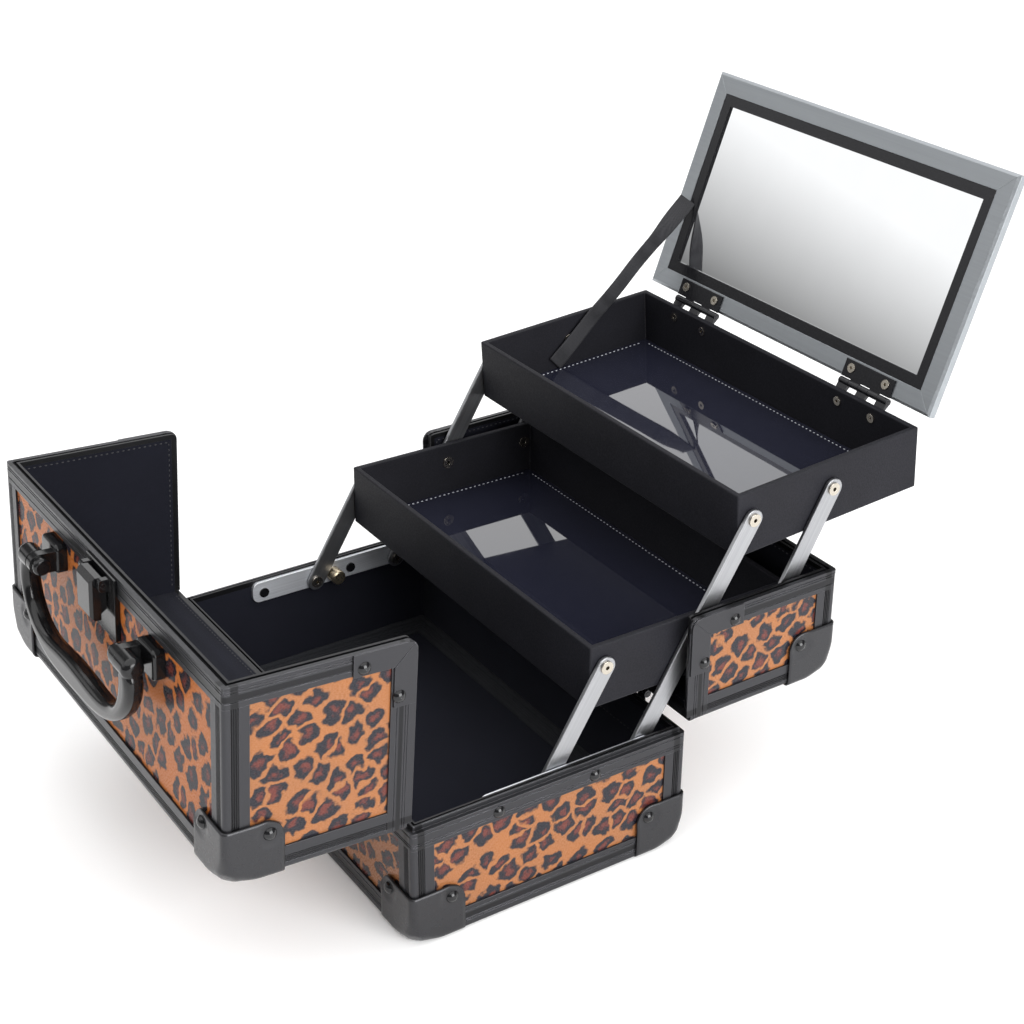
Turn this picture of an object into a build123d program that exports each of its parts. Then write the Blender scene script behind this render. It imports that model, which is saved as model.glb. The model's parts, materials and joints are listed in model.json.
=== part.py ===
from build123d import *

import os
from math import cos, radians, sin

# Makeup train case, standing open. Millimetres. +Z is up, -Y is the front, +X the right-hand side.
# The origin is the centre of the floor board's underside, on which the case stands.
#
# Each lid is drawn shut, in a frame whose X axis is its hinge, and is swung open when it is written.
# In that frame y runs inwards from the hinge and z runs up. The rear lid is the mirror image.
# Each tray is drawn level about its own centre, and the mirror flat about its hinge.

# ---------------------------------------------------------------- driving dimensions

CASE_W, CASE_D = 240, 150  # over the frame
BASE_H, LID_H = 65, 86
FRONT_LID_D = 94
REAR_LID_D = CASE_D - FRONT_LID_D

SKIN = 1.0  # wall of the aluminium frame extrusions
BOARD = 3.0  # printed board set into the frame
LINING = 1.0
WALL = SKIN + BOARD + LINING
FACE = 11.5  # width of a frame rail's face
EDGE_R = 2.0  # rounding of the frame's long edges
BASE_EDGE = 1.2  # how far the corner caps and the floor board stand below the bottom rail

HINGE_GAP = 2.2  # hinge axis outside the frame's face
FRONT_OPEN = 86.7  # degrees from shut
REAR_OPEN = 89.3

CAP = 28.0  # corner cap, along each edge
CAP_T = 1.2
CAP_RIVET = 21.5  # rivet from both edges of each face
CAP_SEAT_R, CAP_SEAT_DEPTH = 7.5, 0.5  # the shallow dish pressed round each rivet
CAP_CLEAR, BOARD_CLEAR = 9, 6  # corners of the boards cut back behind the caps

RIVET_R = 1.25
RIVET_HOLE_R = 1.3
RIVET_HEAD_R = 3.1
RIVET_HEAD_H = 1.9
TAIL_R, TAIL_H = 2.7, 0.8  # the flat tail of a rim rivet, inside the box

# Lever arms: two on the main box and one between the trays, on each side
ARM_PITCH = 61.2
ARM_W, ARM_T = 10.0, 2.0
ARM_IN = 110.5  # inner face of every arm, from the centre plane
ARM_REST = 58.8  # degrees above horizontal, leaning back
PIVOT_Z = 56.2
FRONT_PIVOT_Y, REAR_PIVOT_Y = 1.0, 51.0
PIVOT_SPAN = REAR_PIVOT_Y - FRONT_PIVOT_Y
REAR_ARM_PITCH = 63.17
REAR_ARM_REST = 61.67

TRAY_W, TRAY_H, TRAY_WALL = 220.0, 32.2, 3.0
LOWER_TRAY_D, UPPER_TRAY_D = 115.0, 111.6
UPPER_TILT = 4.0  # degrees, rear edge up, while the trays are out
LOWER_PIVOT_Z = 5.3  # pivots above the tray's centre
UPPER_PIVOT_Z = 2.4
UPPER_SPAN = 48.0

PIVOT_R = 2.0  # tubular rivets that carry the arms
PIVOT_HOLE_R = 2.06
LOOSE_HOLE_R = 2.35  # front arm to lower tray
LOOSEST_HOLE_R = 2.6  # rear arm to upper tray

MIRROR_W, MIRROR_D, MIRROR_T = 222.6, 121.4, 4.8
MIRROR_OPEN = 114.5  # degrees from lying on the tray
MIRROR_AXIS = (3.4, 2.3)  # hinge axis behind the tray's rear wall and above its rim
MIRROR_START = 2.2  # hinge axis to the frame's edge

HANDLE_SPAN = 112.6  # between the middles of the handle's legs
HANDLE_PIVOT_H = 12.0  # above the frame's top face
HANDLE_DROP = 34.0

# ---------------------------------------------------------------- worked-out places

HALF_W, HALF_D = CASE_W / 2, CASE_D / 2
BOARD_OUT = HALF_W - SKIN  # outer face of the side boards
INNER_W, INNER_D = CASE_W - 2 * WALL, CASE_D - 2 * WALL
FRONT_SPLIT = HINGE_GAP + FRONT_LID_D
REAR_SPLIT = HINGE_GAP + REAR_LID_D


def swing(origin, degrees_about_x):
    """Carry something drawn about a hinge to its place: turn it about X, then move it to the hinge."""
    return Location(origin, (degrees_about_x, 0, 0))


FRONT_LID = swing((0, -HALF_D - HINGE_GAP, BASE_H), FRONT_OPEN)
REAR_LID = swing((0, HALF_D + HINGE_GAP, BASE_H), -REAR_OPEN)


def along_arm(y, z, pitch, angle):
    return y + pitch * cos(radians(angle)), z + pitch * sin(radians(angle))


LOWER_MID_PIVOT = along_arm(REAR_PIVOT_Y, PIVOT_Z, ARM_PITCH, ARM_REST)
UPPER_FRONT_PIVOT = along_arm(REAR_PIVOT_Y, PIVOT_Z, 2 * ARM_PITCH, ARM_REST)
LOWER_REAR_PIVOT = (LOWER_MID_PIVOT[0] + PIVOT_SPAN, LOWER_MID_PIVOT[1])
LOWER_TRAY = swing((0, LOWER_MID_PIVOT[0], LOWER_MID_PIVOT[1] - LOWER_PIVOT_Z), 0)
UPPER_TRAY = swing((0, *UPPER_FRONT_PIVOT), UPPER_TILT) * Location((0, UPPER_SPAN, -UPPER_PIVOT_Z))
MIRROR = UPPER_TRAY * swing(
    (0, UPPER_TRAY_D / 2 + MIRROR_AXIS[0], TRAY_H / 2 + MIRROR_AXIS[1]), -MIRROR_OPEN
)

os.makedirs("parts", exist_ok=True)


def save(piece, name, place=Location()):
    """Carry a finished piece to its place, label it and write it."""
    piece.part = Compound(children=[place * solid for solid in piece.part.solids()])
    piece.part.label = name
    export_step(piece.part, f"parts/{name}.step")


def flip(solids, plane):
    """Mirror images of the solids, left alone by the open builder."""
    return [mirror(solid, about=plane, mode=Mode.PRIVATE) for solid in solids]


# ---------------------------------------------------------------- rivets and their seats


def facing(x, y, z, direction):
    """A plane at a point, looking outwards along a direction."""
    return Plane(origin=(x, y, z), z_dir=direction)


def disc(seat, radius, amount, mode=Mode.ADD, both=False):
    """A round bar that stands on a seat, or a round hole bored out from it."""
    with BuildSketch(seat, mode=Mode.PRIVATE) as circle:
        Circle(radius)
    return extrude(circle.sketch, amount=amount, both=both, mode=mode)


def rivet(seat, grip):
    """A dome-headed rivet: its head stands on the seat and its shank runs down through the grip."""
    dome_r = (RIVET_HEAD_R**2 + RIVET_HEAD_H**2) / (2 * RIVET_HEAD_H)
    with BuildPart(mode=Mode.PRIVATE) as dome:
        with Locations(seat.offset(RIVET_HEAD_H - dome_r).location):
            Sphere(dome_r)
        split(bisect_by=seat, keep=Keep.TOP)
        disc(seat, RIVET_R, -grip)
    add(dome.part)


def rivet_holes(seats, depth):
    for seat in seats:
        disc(seat, RIVET_HOLE_R, -depth, Mode.SUBTRACT)


EYELET_HEAD_R, EYELET_HEAD_T = 3.2, 0.8


def eyelet(x_inner, x_outer, y, z, side):
    """A tubular rivet along X between two faces, with a rolled head outside each of them."""
    inner = facing(side * x_inner, y, z, (side, 0, 0))
    grip = x_outer - x_inner
    disc(inner, PIVOT_R, grip)
    for start in (-EYELET_HEAD_T, grip):
        disc(inner.offset(start), EYELET_HEAD_R, EYELET_HEAD_T)
    disc(inner.offset(-EYELET_HEAD_T), PIVOT_R / 2, grip + 2 * EYELET_HEAD_T, Mode.SUBTRACT)


# ---------------------------------------------------------------- corner caps

CAP_SPHERE_D, CAP_SPHERE_R = 14.0, 18.7  # the sphere that rounds off a cap's point


def cap_point(inset):
    """The point of a cube corner at the origin that the cap's sphere takes off, set in by a skin."""
    with BuildPart(mode=Mode.PRIVATE) as point:
        with Locations((-inset, -inset, -inset)):
            Box(12, 12, 12, align=(Align.MAX, Align.MAX, Align.MAX))
        with Locations((2 - inset, 2 - inset, 2 - inset)):
            Box(4, 4, 4)
        with Locations([(-CAP_SPHERE_D,) * 3]):
            Sphere(CAP_SPHERE_R - inset, mode=Mode.SUBTRACT)
    return point.part


def cap_outline():
    """One face of the cap: a square whose far corner is rounded about the rivet."""
    with Locations((-CAP / 2, -CAP / 2)):
        Rectangle(CAP, CAP)
    far = vertices().sort_by(Axis((0, 0, 0), (1, 1, 0)))[0]
    fillet(far, 9)


def corner_cap():
    """A pressed cap on a cube corner at the origin, filling the octant of negative x, y and z."""
    with BuildPart(mode=Mode.PRIVATE) as cap:
        Box(CAP, CAP, CAP, align=(Align.MAX, Align.MAX, Align.MAX))
        fillet(cap.edges().sort_by_distance((0, 0, 0))[:3], 3)
        add(cap_point(0), mode=Mode.SUBTRACT)
        with Locations((-CAP_T, -CAP_T, -CAP_T)):
            Box(CAP, CAP, CAP, align=(Align.MAX, Align.MAX, Align.MAX), mode=Mode.SUBTRACT)
        # the inside of the point is filled again behind the sphere, one skin thick
        with BuildPart(mode=Mode.PRIVATE) as web:
            add(cap_point(CAP_T))
            Box(CAP, CAP, CAP, align=(Align.MAX, Align.MAX, Align.MAX), mode=Mode.INTERSECT)
            add(cap_point(0), mode=Mode.SUBTRACT)
        add(web.part)
        with BuildPart(mode=Mode.PRIVATE) as faces:
            for plane in (Plane.XY, Plane.YZ, Plane.ZX):
                with BuildSketch(plane):
                    cap_outline()
                extrude(amount=-9)
        add(faces.part, mode=Mode.INTERSECT)
        for plane in (Plane.XY, Plane.YZ, Plane.ZX):
            seat = Plane(plane.location * Location((-CAP_RIVET, -CAP_RIVET, 0)))
            disc(seat.offset(-CAP_SEAT_DEPTH), CAP_SEAT_R, 1, Mode.SUBTRACT)
            disc(seat, RIVET_HOLE_R, -4, Mode.SUBTRACT)
    return cap.part


CAP_SOLID = corner_cap()
CAP_POINT = cap_point(CAP_T)


def at_corner(solid, x, y, z, sx, sy, sz):
    """A solid drawn in the octant of negative x, y and z, turned out to a corner of the case."""
    if sx < 0:
        solid = mirror(solid, about=Plane.YZ, mode=Mode.PRIVATE)
    if sy < 0:
        solid = mirror(solid, about=Plane.XZ, mode=Mode.PRIVATE)
    if sz < 0:
        solid = mirror(solid, about=Plane.XY, mode=Mode.PRIVATE)
    return Location((x, y, z)) * solid


CAP_HALF_W, CAP_HALF_D = HALF_W + CAP_T, HALF_D + CAP_T
BASE_CORNERS = [(sx * CAP_HALF_W, sy * CAP_HALF_D, 0, sx, sy, -1) for sx in (-1, 1) for sy in (-1, 1)]
BASE_CAP_RIVETS = []
for x, y, _, sx, sy, _ in BASE_CORNERS:
    seat_x, seat_y = sx * (CAP_HALF_W - CAP_SEAT_DEPTH), sy * (CAP_HALF_D - CAP_SEAT_DEPTH)
    BASE_CAP_RIVETS.append(facing(seat_x, y - sy * CAP_RIVET, CAP_RIVET, (sx, 0, 0)))
    BASE_CAP_RIVETS.append(facing(x - sx * CAP_RIVET, seat_y, CAP_RIVET, (0, sy, 0)))

# ---------------------------------------------------------------- main box

FLOOR_BOARD_TOP = 4.0
RAIL_LEG, RAIL_TOP = 8.0, 12.0
RIM_LOW, RIM_FLANGE_TOP, BOARD_TOP = 53.5, 62.6, 62.0
RIM_RIVET_Y, RIM_RIVET_Z = (-29.5, 23.0), 57.6
GROOVE_W, GROOVE_DEPTH = 0.6, 0.35
GROOVES = (3.5, 4.5, 5.5, 6.5)  # the ribbed band along each post and lid edge, from its outer edge
RIM_GROOVES = (1.7, 2.9, 7.1)  # fine lines along each rim, from its lower edge
BRACKET_T = 2.0
BRACKET_IN = HALF_W - WALL - BRACKET_T

RIM_RIVETS = [
    facing(sx * HALF_W, y, RIM_RIVET_Z, (sx, 0, 0)) for sx in (-1, 1) for y in RIM_RIVET_Y
]


def ring(outer_inset, inner_inset, corner_r=0.0):
    """A rectangular ring round the case; both insets are measured from the frame's outer face."""
    if corner_r:
        RectangleRounded(CASE_W - 2 * outer_inset, CASE_D - 2 * outer_inset, corner_r)
    else:
        Rectangle(CASE_W - 2 * outer_inset, CASE_D - 2 * outer_inset)
    Rectangle(CASE_W - 2 * inner_inset, CASE_D - 2 * inner_inset, mode=Mode.SUBTRACT)


def base_points():
    for corner in BASE_CORNERS:
        add(at_corner(CAP_POINT, *corner), mode=Mode.SUBTRACT)


with BuildPart() as base_floor_panel:
    with BuildSketch(Plane.XY.offset(BASE_EDGE + SKIN)):
        Rectangle(CASE_W - 2 * SKIN, CASE_D - 2 * SKIN)
    extrude(amount=FLOOR_BOARD_TOP - BASE_EDGE - SKIN)
    chamfer(base_floor_panel.edges().filter_by(Axis.Z), CAP_CLEAR)
    with BuildSketch():
        Rectangle(CASE_W - 2 * RAIL_LEG - 2, CASE_D - 2 * RAIL_LEG - 2)
        with GridLocations(CASE_W - CAP, CASE_D - CAP, 2, 2):
            Rectangle(CAP + 1, CAP + 1, mode=Mode.SUBTRACT)
    extrude(amount=BASE_EDGE + SKIN)
save(base_floor_panel, "base_floor_panel")

with BuildPart() as base_long_panels:
    with BuildSketch(Plane.XZ.offset(HALF_D - SKIN - BOARD)):
        with Locations((0, (FLOOR_BOARD_TOP + BOARD_TOP) / 2)):
            Rectangle(2 * (BOARD_OUT - BOARD), BOARD_TOP - FLOOR_BOARD_TOP)
        chamfer(vertices().group_by(Axis.Y)[0], BOARD_CLEAR)
    extrude(amount=BOARD)
    mirror(about=Plane.XZ)
    rivet_holes(BASE_CAP_RIVETS, 5)
save(base_long_panels, "base_long_panels")

with BuildPart() as base_side_panels:
    with BuildSketch(Plane.YZ.offset(BOARD_OUT - BOARD)):
        with Locations((0, (FLOOR_BOARD_TOP + BOARD_TOP) / 2)):
            Rectangle(CASE_D - 2 * SKIN, BOARD_TOP - FLOOR_BOARD_TOP)
        chamfer(vertices().group_by(Axis.Y)[0], CAP_CLEAR)
    extrude(amount=BOARD)
    mirror(about=Plane.YZ)
    rivet_holes(BASE_CAP_RIVETS + RIM_RIVETS, 7)
save(base_side_panels, "base_side_panels")

with BuildPart() as base_lining:
    with BuildSketch(Plane.XY.offset(FLOOR_BOARD_TOP)):
        RectangleRounded(INNER_W + 2 * LINING, INNER_D + 2 * LINING, 3)
    extrude(amount=BOARD_TOP - FLOOR_BOARD_TOP)
    with BuildSketch(Plane.XY.offset(FLOOR_BOARD_TOP + LINING)):
        RectangleRounded(INNER_W, INNER_D, 2)
    extrude(amount=BOARD_TOP, mode=Mode.SUBTRACT)
    rivet_holes(RIM_RIVETS, 10)
save(base_lining, "base_lining")

with BuildPart() as base_top_rim:
    with BuildSketch(Plane.XY.offset(RIM_LOW)):
        ring(0, SKIN, EDGE_R)
    extrude(amount=RIM_FLANGE_TOP - RIM_LOW)
    with BuildSketch(Plane.XY.offset(BOARD_TOP)):
        ring(0, WALL, EDGE_R)
    extrude(amount=RIM_FLANGE_TOP - BOARD_TOP)
    with BuildSketch(Plane.XY.offset(BOARD_TOP)):
        ring(2.2, WALL)
    extrude(amount=BASE_H - BOARD_TOP)
    # the track along the tongue, and the grooves along the face
    with BuildSketch(Plane.XY.offset(BASE_H - 1.6)):
        ring(3.1, 4.1)
    extrude(amount=1.6, mode=Mode.SUBTRACT)
    for z in [RIM_LOW + up for up in RIM_GROOVES]:
        with BuildSketch(Plane.XY.offset(z)):
            Rectangle(CASE_W + 1, CASE_D + 1)
            Rectangle(CASE_W - 2 * GROOVE_DEPTH, CASE_D - 2 * GROOVE_DEPTH, mode=Mode.SUBTRACT)
        extrude(amount=GROOVE_W, mode=Mode.SUBTRACT)
    rivet_holes(RIM_RIVETS, 2)
save(base_top_rim, "base_top_rim")

with BuildPart() as base_bottom_rail:
    with BuildSketch(Plane.XY.offset(BASE_EDGE)):
        ring(0, SKIN, EDGE_R)
    extrude(amount=RAIL_TOP - BASE_EDGE)
    with BuildSketch(Plane.XY.offset(BASE_EDGE)):
        ring(0, RAIL_LEG, EDGE_R)
    extrude(amount=SKIN)
    for z in [BASE_EDGE + up + 1 for up in RIM_GROOVES]:
        with BuildSketch(Plane.XY.offset(z)):
            Rectangle(CASE_W + 1, CASE_D + 1)
            Rectangle(CASE_W - 2 * GROOVE_DEPTH, CASE_D - 2 * GROOVE_DEPTH, mode=Mode.SUBTRACT)
        extrude(amount=GROOVE_W, mode=Mode.SUBTRACT)
    base_points()
save(base_bottom_rail, "base_bottom_rail")

with BuildPart() as base_corner_posts:
    with BuildSketch(Plane.XY.offset(RAIL_TOP)):
        ring(0, SKIN, EDGE_R)
        Rectangle(CASE_W - 2 * FACE, CASE_D + 2, mode=Mode.SUBTRACT)
        Rectangle(CASE_W + 2, CASE_D - 2 * FACE, mode=Mode.SUBTRACT)
        for inset in GROOVES:
            span_x, span_y = CASE_W - 2 * inset, CASE_D - 2 * inset
            with GridLocations(span_x, CASE_D, 2, 2):
                Rectangle(GROOVE_W, 2 * GROOVE_DEPTH, mode=Mode.SUBTRACT)
            with GridLocations(CASE_W, span_y, 2, 2):
                Rectangle(2 * GROOVE_DEPTH, GROOVE_W, mode=Mode.SUBTRACT)
    extrude(amount=RIM_LOW - RAIL_TOP)
    base_points()
save(base_corner_posts, "base_corner_posts")

with BuildPart() as base_corner_caps:
    for corner in BASE_CORNERS:
        add(at_corner(CAP_SOLID, *corner))
save(base_corner_caps, "base_corner_caps")

with BuildPart() as base_rivets:
    for seat in BASE_CAP_RIVETS:
        rivet(seat, 4.5)
    for seat in RIM_RIVETS:
        rivet(seat, WALL + BRACKET_T)
        inner = seat.offset(-WALL - BRACKET_T)
        disc(inner, TAIL_R, -TAIL_H)
save(base_rivets, "base_rivets")

# ---------------------------------------------------------------- hinges

KNUCKLE_R, HINGE_PIN_R, HINGE_BORE_R = 2.0, 1.0, 1.06
HINGE_L, HINGE_X = 30.0, 72.0
KNUCKLES = 5
LEAF_T, LEAF_H = 0.9, 12.0


def lid_hinge_leaf(knuckles, up):
    """A leaf drawn about its pin, on the face y = HINGE_GAP, reaching up or down from the pin."""
    pitch = HINGE_L / KNUCKLES
    with BuildPart(mode=Mode.PRIVATE) as leaf:
        low, high = sorted((up * (KNUCKLE_R + 0.5), up * LEAF_H))
        with BuildSketch(Plane.YZ.offset(-HINGE_L / 2)):
            with Locations((HINGE_GAP - LEAF_T / 2, (low + high) / 2)):
                Rectangle(LEAF_T, high - low)
        extrude(amount=HINGE_L)
        for i in knuckles:
            with BuildSketch(Plane.YZ.offset(-HINGE_L / 2 + i * pitch + 0.1)):
                Circle(KNUCKLE_R)
                with Locations((HINGE_GAP - LEAF_T / 2 - 0.25, up * (KNUCKLE_R + 1) / 2)):
                    Rectangle(LEAF_T - 0.5, KNUCKLE_R + 1)
                Circle(HINGE_BORE_R, mode=Mode.SUBTRACT)
            extrude(amount=pitch - 0.2)
    return leaf.part


BASE_LEAF = lid_hinge_leaf((0, 2, 4), -1)
LID_LEAF = lid_hinge_leaf((1, 3), 1)
FRONT_HINGES = [Location((x, -HALF_D - HINGE_GAP, BASE_H)) for x in (-HINGE_X, HINGE_X)]

with BuildPart() as hinge_base_leaves:
    for place in FRONT_HINGES:
        add(place * BASE_LEAF)
    mirror(about=Plane.XZ)
save(hinge_base_leaves, "hinge_base_leaves")

with BuildPart() as hinge_pins:
    for place in FRONT_HINGES:
        disc(Plane(place).rotated((0, 90, 0)), HINGE_PIN_R, HINGE_L / 2, both=True)
    mirror(about=Plane.XZ)
save(hinge_pins, "hinge_pins")

# ---------------------------------------------------------------- arm brackets

BRACKET_Y = (-36.0, 58.0)
BRACKET_Z = (52.4, 64.0)
STOP_R = 4.0
STOP_GAP = 0.3
STOP_L = 7.5
STOP_DZ = 0.8
STOP_DY = (ARM_W / 2 + STOP_R + STOP_GAP + STOP_DZ * cos(radians(ARM_REST))) / sin(radians(ARM_REST))
BASE_PIVOTS_Y = (FRONT_PIVOT_Y, REAR_PIVOT_Y)

with BuildPart() as arm_brackets:
    with BuildSketch(Plane.YZ.offset(BRACKET_IN)):
        with Locations((sum(BRACKET_Y) / 2, sum(BRACKET_Z) / 2)):
            Rectangle(BRACKET_Y[1] - BRACKET_Y[0], BRACKET_Z[1] - BRACKET_Z[0])
        fillet(vertices(), 4)
        with Locations([(y, PIVOT_Z) for y in BASE_PIVOTS_Y]):
            Circle(PIVOT_R + 0.01, mode=Mode.SUBTRACT)
        with Locations([(y, RIM_RIVET_Z) for y in RIM_RIVET_Y]):
            Circle(RIVET_HOLE_R, mode=Mode.SUBTRACT)
    extrude(amount=BRACKET_T)
    mirror(about=Plane.YZ)
save(arm_brackets, "arm_brackets")

with BuildPart() as arm_pivot_rivets:
    for side in (-1, 1):
        for y in BASE_PIVOTS_Y:
            inner = facing(side * (ARM_IN - 1.0), y, PIVOT_Z, (side, 0, 0))
            disc(inner, PIVOT_R, HALF_W - WALL - ARM_IN + 1.0)
            disc(inner, EYELET_HEAD_R, EYELET_HEAD_T)
            disc(inner, PIVOT_R / 2, 3.5, Mode.SUBTRACT)
save(arm_pivot_rivets, "arm_pivot_rivets")

with BuildPart() as arm_stop_studs:
    disc(facing(BRACKET_IN, FRONT_PIVOT_Y + STOP_DY, PIVOT_Z + STOP_DZ, (-1, 0, 0)), STOP_R, STOP_L)
    fillet(arm_stop_studs.edges().sort_by(Axis.X)[0], 1.0)
    mirror(about=Plane.YZ)
save(arm_stop_studs, "arm_stop_studs")

# ---------------------------------------------------------------- lids, drawn shut

LID_RIM_H = 10.0
WEB_T = 2.5
CHANNEL_IN, CHANNEL_W, CHANNEL_DEPTH = 2.2, 1.6, 1.4  # the channel along the split, from outside
SHUT_GAP = 0.15  # lid's rim above the main box's tongue
SIDE_FLANGE = 2.2  # how far the sides reach down past the tongue
JOINT_LINE = 0.12  # hairline between two rails
MITRE_L, MITRE_W, MITRE_T = 30.0, 10.5, 0.8
CORNER_R = 5.0  # where the rim along the split meets the rim along the main box
LID_CAP_Z = LID_H + CAP_T
LID_CORNERS = [(sx * CAP_HALF_W, HINGE_GAP - CAP_T, LID_CAP_Z, sx, -1, 1) for sx in (-1, 1)]


def lid_box(inset, y_end, low=0.0):
    """The lid's outline set in from its frame, from the outer wall to y_end and up from low."""
    near = HINGE_GAP + inset
    with Locations((0, near, low)):
        Box(
            CASE_W - 2 * inset,
            y_end - near,
            LID_H - inset - low,
            align=(Align.CENTER, Align.MIN, Align.MIN),
        )


def lid_rivet_seats(split):
    caps, mitres = [], []
    for x, y, z, sx, sy, sz in LID_CORNERS:
        seat = CAP_T - CAP_SEAT_DEPTH
        caps.append(facing(sx * (HALF_W + seat), y + CAP_RIVET, z - CAP_RIVET, (sx, 0, 0)))
        caps.append(facing(x - sx * CAP_RIVET, y + CAP_RIVET, LID_H + seat, (0, 0, 1)))
        caps.append(facing(x - sx * CAP_RIVET, HINGE_GAP - seat, z - CAP_RIVET, (0, -1, 0)))
        face = sx * (HALF_W + MITRE_T)
        mitres.append(facing(face, split - 7.0, 23.5, (sx, 0, 0)))
        mitres.append(facing(face, split - 25.0, 6.5, (sx, 0, 0)))
    return caps, mitres


def lid_panels(split):
    """Top board, outer board and the pair of side boards."""
    caps, mitres = lid_rivet_seats(split)
    end = split - WEB_T
    half = BOARD_OUT - BOARD
    with BuildPart() as top:
        with BuildSketch(Plane.XY.offset(LID_H - SKIN - BOARD)):
            with Locations((0, (HINGE_GAP + SKIN + BOARD + end) / 2)):
                Rectangle(2 * half, end - HINGE_GAP - SKIN - BOARD)
            chamfer(vertices().group_by(Axis.Y)[0], BOARD_CLEAR)
        extrude(amount=BOARD)
        rivet_holes(caps, 5)
    with BuildPart() as outer:
        with BuildSketch(Plane.XZ.offset(-HINGE_GAP - SKIN)):
            with Locations((0, (WEB_T + LID_H - SKIN) / 2)):
                Rectangle(2 * half, LID_H - SKIN - WEB_T)
            chamfer(vertices().group_by(Axis.Y)[-1], BOARD_CLEAR)
        extrude(amount=-BOARD)
        rivet_holes(caps, 5)
    with BuildPart() as sides:
        with BuildSketch(Plane.YZ.offset(half)):
            with Locations(((HINGE_GAP + SKIN + end) / 2, (WEB_T + LID_H - SKIN) / 2)):
                Rectangle(end - HINGE_GAP - SKIN, LID_H - SKIN - WEB_T)
            chamfer(vertices().sort_by(Axis((0, 0, 0), (-1, 1, 0)))[-1], CAP_CLEAR)
        extrude(amount=BOARD)
        mirror(about=Plane.YZ)
        rivet_holes(caps + mitres, 5)
    return top, outer, sides


def lid_lining(split):
    end = split - WEB_T
    inset = SKIN + BOARD
    with BuildPart() as lining:
        lid_box(inset, end, WEB_T)
        fillet(lining.edges().filter_by(Axis.Z).group_by(Axis.Y)[0], 3)
        near = HINGE_GAP + WALL
        with Locations((0, near, 0)):
            Box(
                INNER_W,
                2 * end,
                LID_H - WALL,
                align=(Align.CENTER, Align.MIN, Align.MIN),
                mode=Mode.SUBTRACT,
            )
    return lining


def lid_frame(split):
    """The extrusions: a rim along the main box, a rim along the split, and the edges between."""
    rail = split - LID_RIM_H
    caps, mitres = lid_rivet_seats(split)
    with BuildPart() as frame:
        with BuildPart(mode=Mode.PRIVATE) as block:
            lid_box(0, split, SHUT_GAP)
            fillet(block.edges().filter_by(Axis.Z).group_by(Axis.Y)[0], EDGE_R)
            fillet(block.edges().group_by(Axis.Z)[-1].sort_by(Axis.Y)[:-1], EDGE_R)
        add(block.part)
        near = HINGE_GAP + SKIN
        with Locations((0, near, -1)):
            Box(
                CASE_W - 2 * SKIN,
                2 * split,
                LID_H - SKIN + 1,
                align=(Align.CENTER, Align.MIN, Align.MIN),
                mode=Mode.SUBTRACT,
            )
        # the webs that close each rim over the boards' edges
        upright = (Align.CENTER, Align.MIN, Align.MIN)
        with BuildPart(mode=Mode.PRIVATE) as webs:
            with Locations((0, HINGE_GAP + 0.5, SHUT_GAP)):
                Box(CASE_W - 1, split - HINGE_GAP - 1, WEB_T - SHUT_GAP, align=upright)
            with Locations((0, split, SHUT_GAP)):
                size = (CASE_W - 1, WEB_T, LID_H - SHUT_GAP - 0.5)
                Box(*size, align=(Align.CENTER, Align.MAX, Align.MIN))
            with Locations((0, HINGE_GAP + WALL, -1)):
                Box(INNER_W, 2 * split, LID_H - WALL + 1, align=upright, mode=Mode.SUBTRACT)
            # the channel along the split
            with BuildSketch(Plane.XZ.offset(-split)):
                outer, inner = CHANNEL_IN, CHANNEL_IN + CHANNEL_W
                Rectangle(CASE_W - 2 * outer, 2 * (LID_H - outer))
                Rectangle(CASE_W - 2 * inner, 2 * (LID_H - inner), mode=Mode.SUBTRACT)
            extrude(amount=CHANNEL_DEPTH, mode=Mode.SUBTRACT)
        add(webs.part)
        # side flanges that reach down outside the tongue
        for sx in (-1, 1):
            with Locations((sx * (HALF_W - SKIN / 2), HINGE_GAP + 3, -SIDE_FLANGE)):
                Box(SKIN, split - HINGE_GAP - 3, SIDE_FLANGE + 1, align=upright)
        # windows for the boards
        window_y = (HINGE_GAP + FACE, rail)
        middle, length = sum(window_y) / 2, window_y[1] - window_y[0]
        with Locations((0, middle, LID_H)):
            Box(CASE_W - 2 * FACE, length, 4, mode=Mode.SUBTRACT)
        tall = LID_H - FACE - LID_RIM_H
        with Locations((0, middle, LID_RIM_H + tall / 2)):
            Box(CASE_W + 4, length, tall, mode=Mode.SUBTRACT)
        with Locations((0, HINGE_GAP, LID_RIM_H + tall / 2)):
            Box(CASE_W - 2 * FACE, 4, tall, mode=Mode.SUBTRACT)
        # grooves along the rails
        for groove in frame_grooves(split, rail):
            add(groove, mode=Mode.SUBTRACT)
        # the rounded corner where the two rims meet
        with BuildSketch(Plane.YZ.offset(-HALF_W - 2)):
            with Locations((split, -SIDE_FLANGE)):
                Rectangle(2 * CORNER_R, 2 * CORNER_R)
            with Locations((split - CORNER_R, CORNER_R - SIDE_FLANGE)):
                Circle(CORNER_R, mode=Mode.SUBTRACT)
        extrude(amount=CASE_W + 4, mode=Mode.SUBTRACT)
        # hairline joints between the rims and the edges
        with Locations((0, 0, LID_RIM_H)):
            Box(CASE_W + 4, 2 * rail, JOINT_LINE, mode=Mode.SUBTRACT)
        with Locations((0, rail, LID_RIM_H)):
            across = (Align.CENTER, Align.CENTER, Align.MIN)
            Box(CASE_W + 4, JOINT_LINE, LID_H, align=across, mode=Mode.SUBTRACT)
        for corner in LID_CORNERS:
            add(at_corner(CAP_POINT, *corner), mode=Mode.SUBTRACT)
        rivet_holes(caps + mitres, 3)
    return frame


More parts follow.
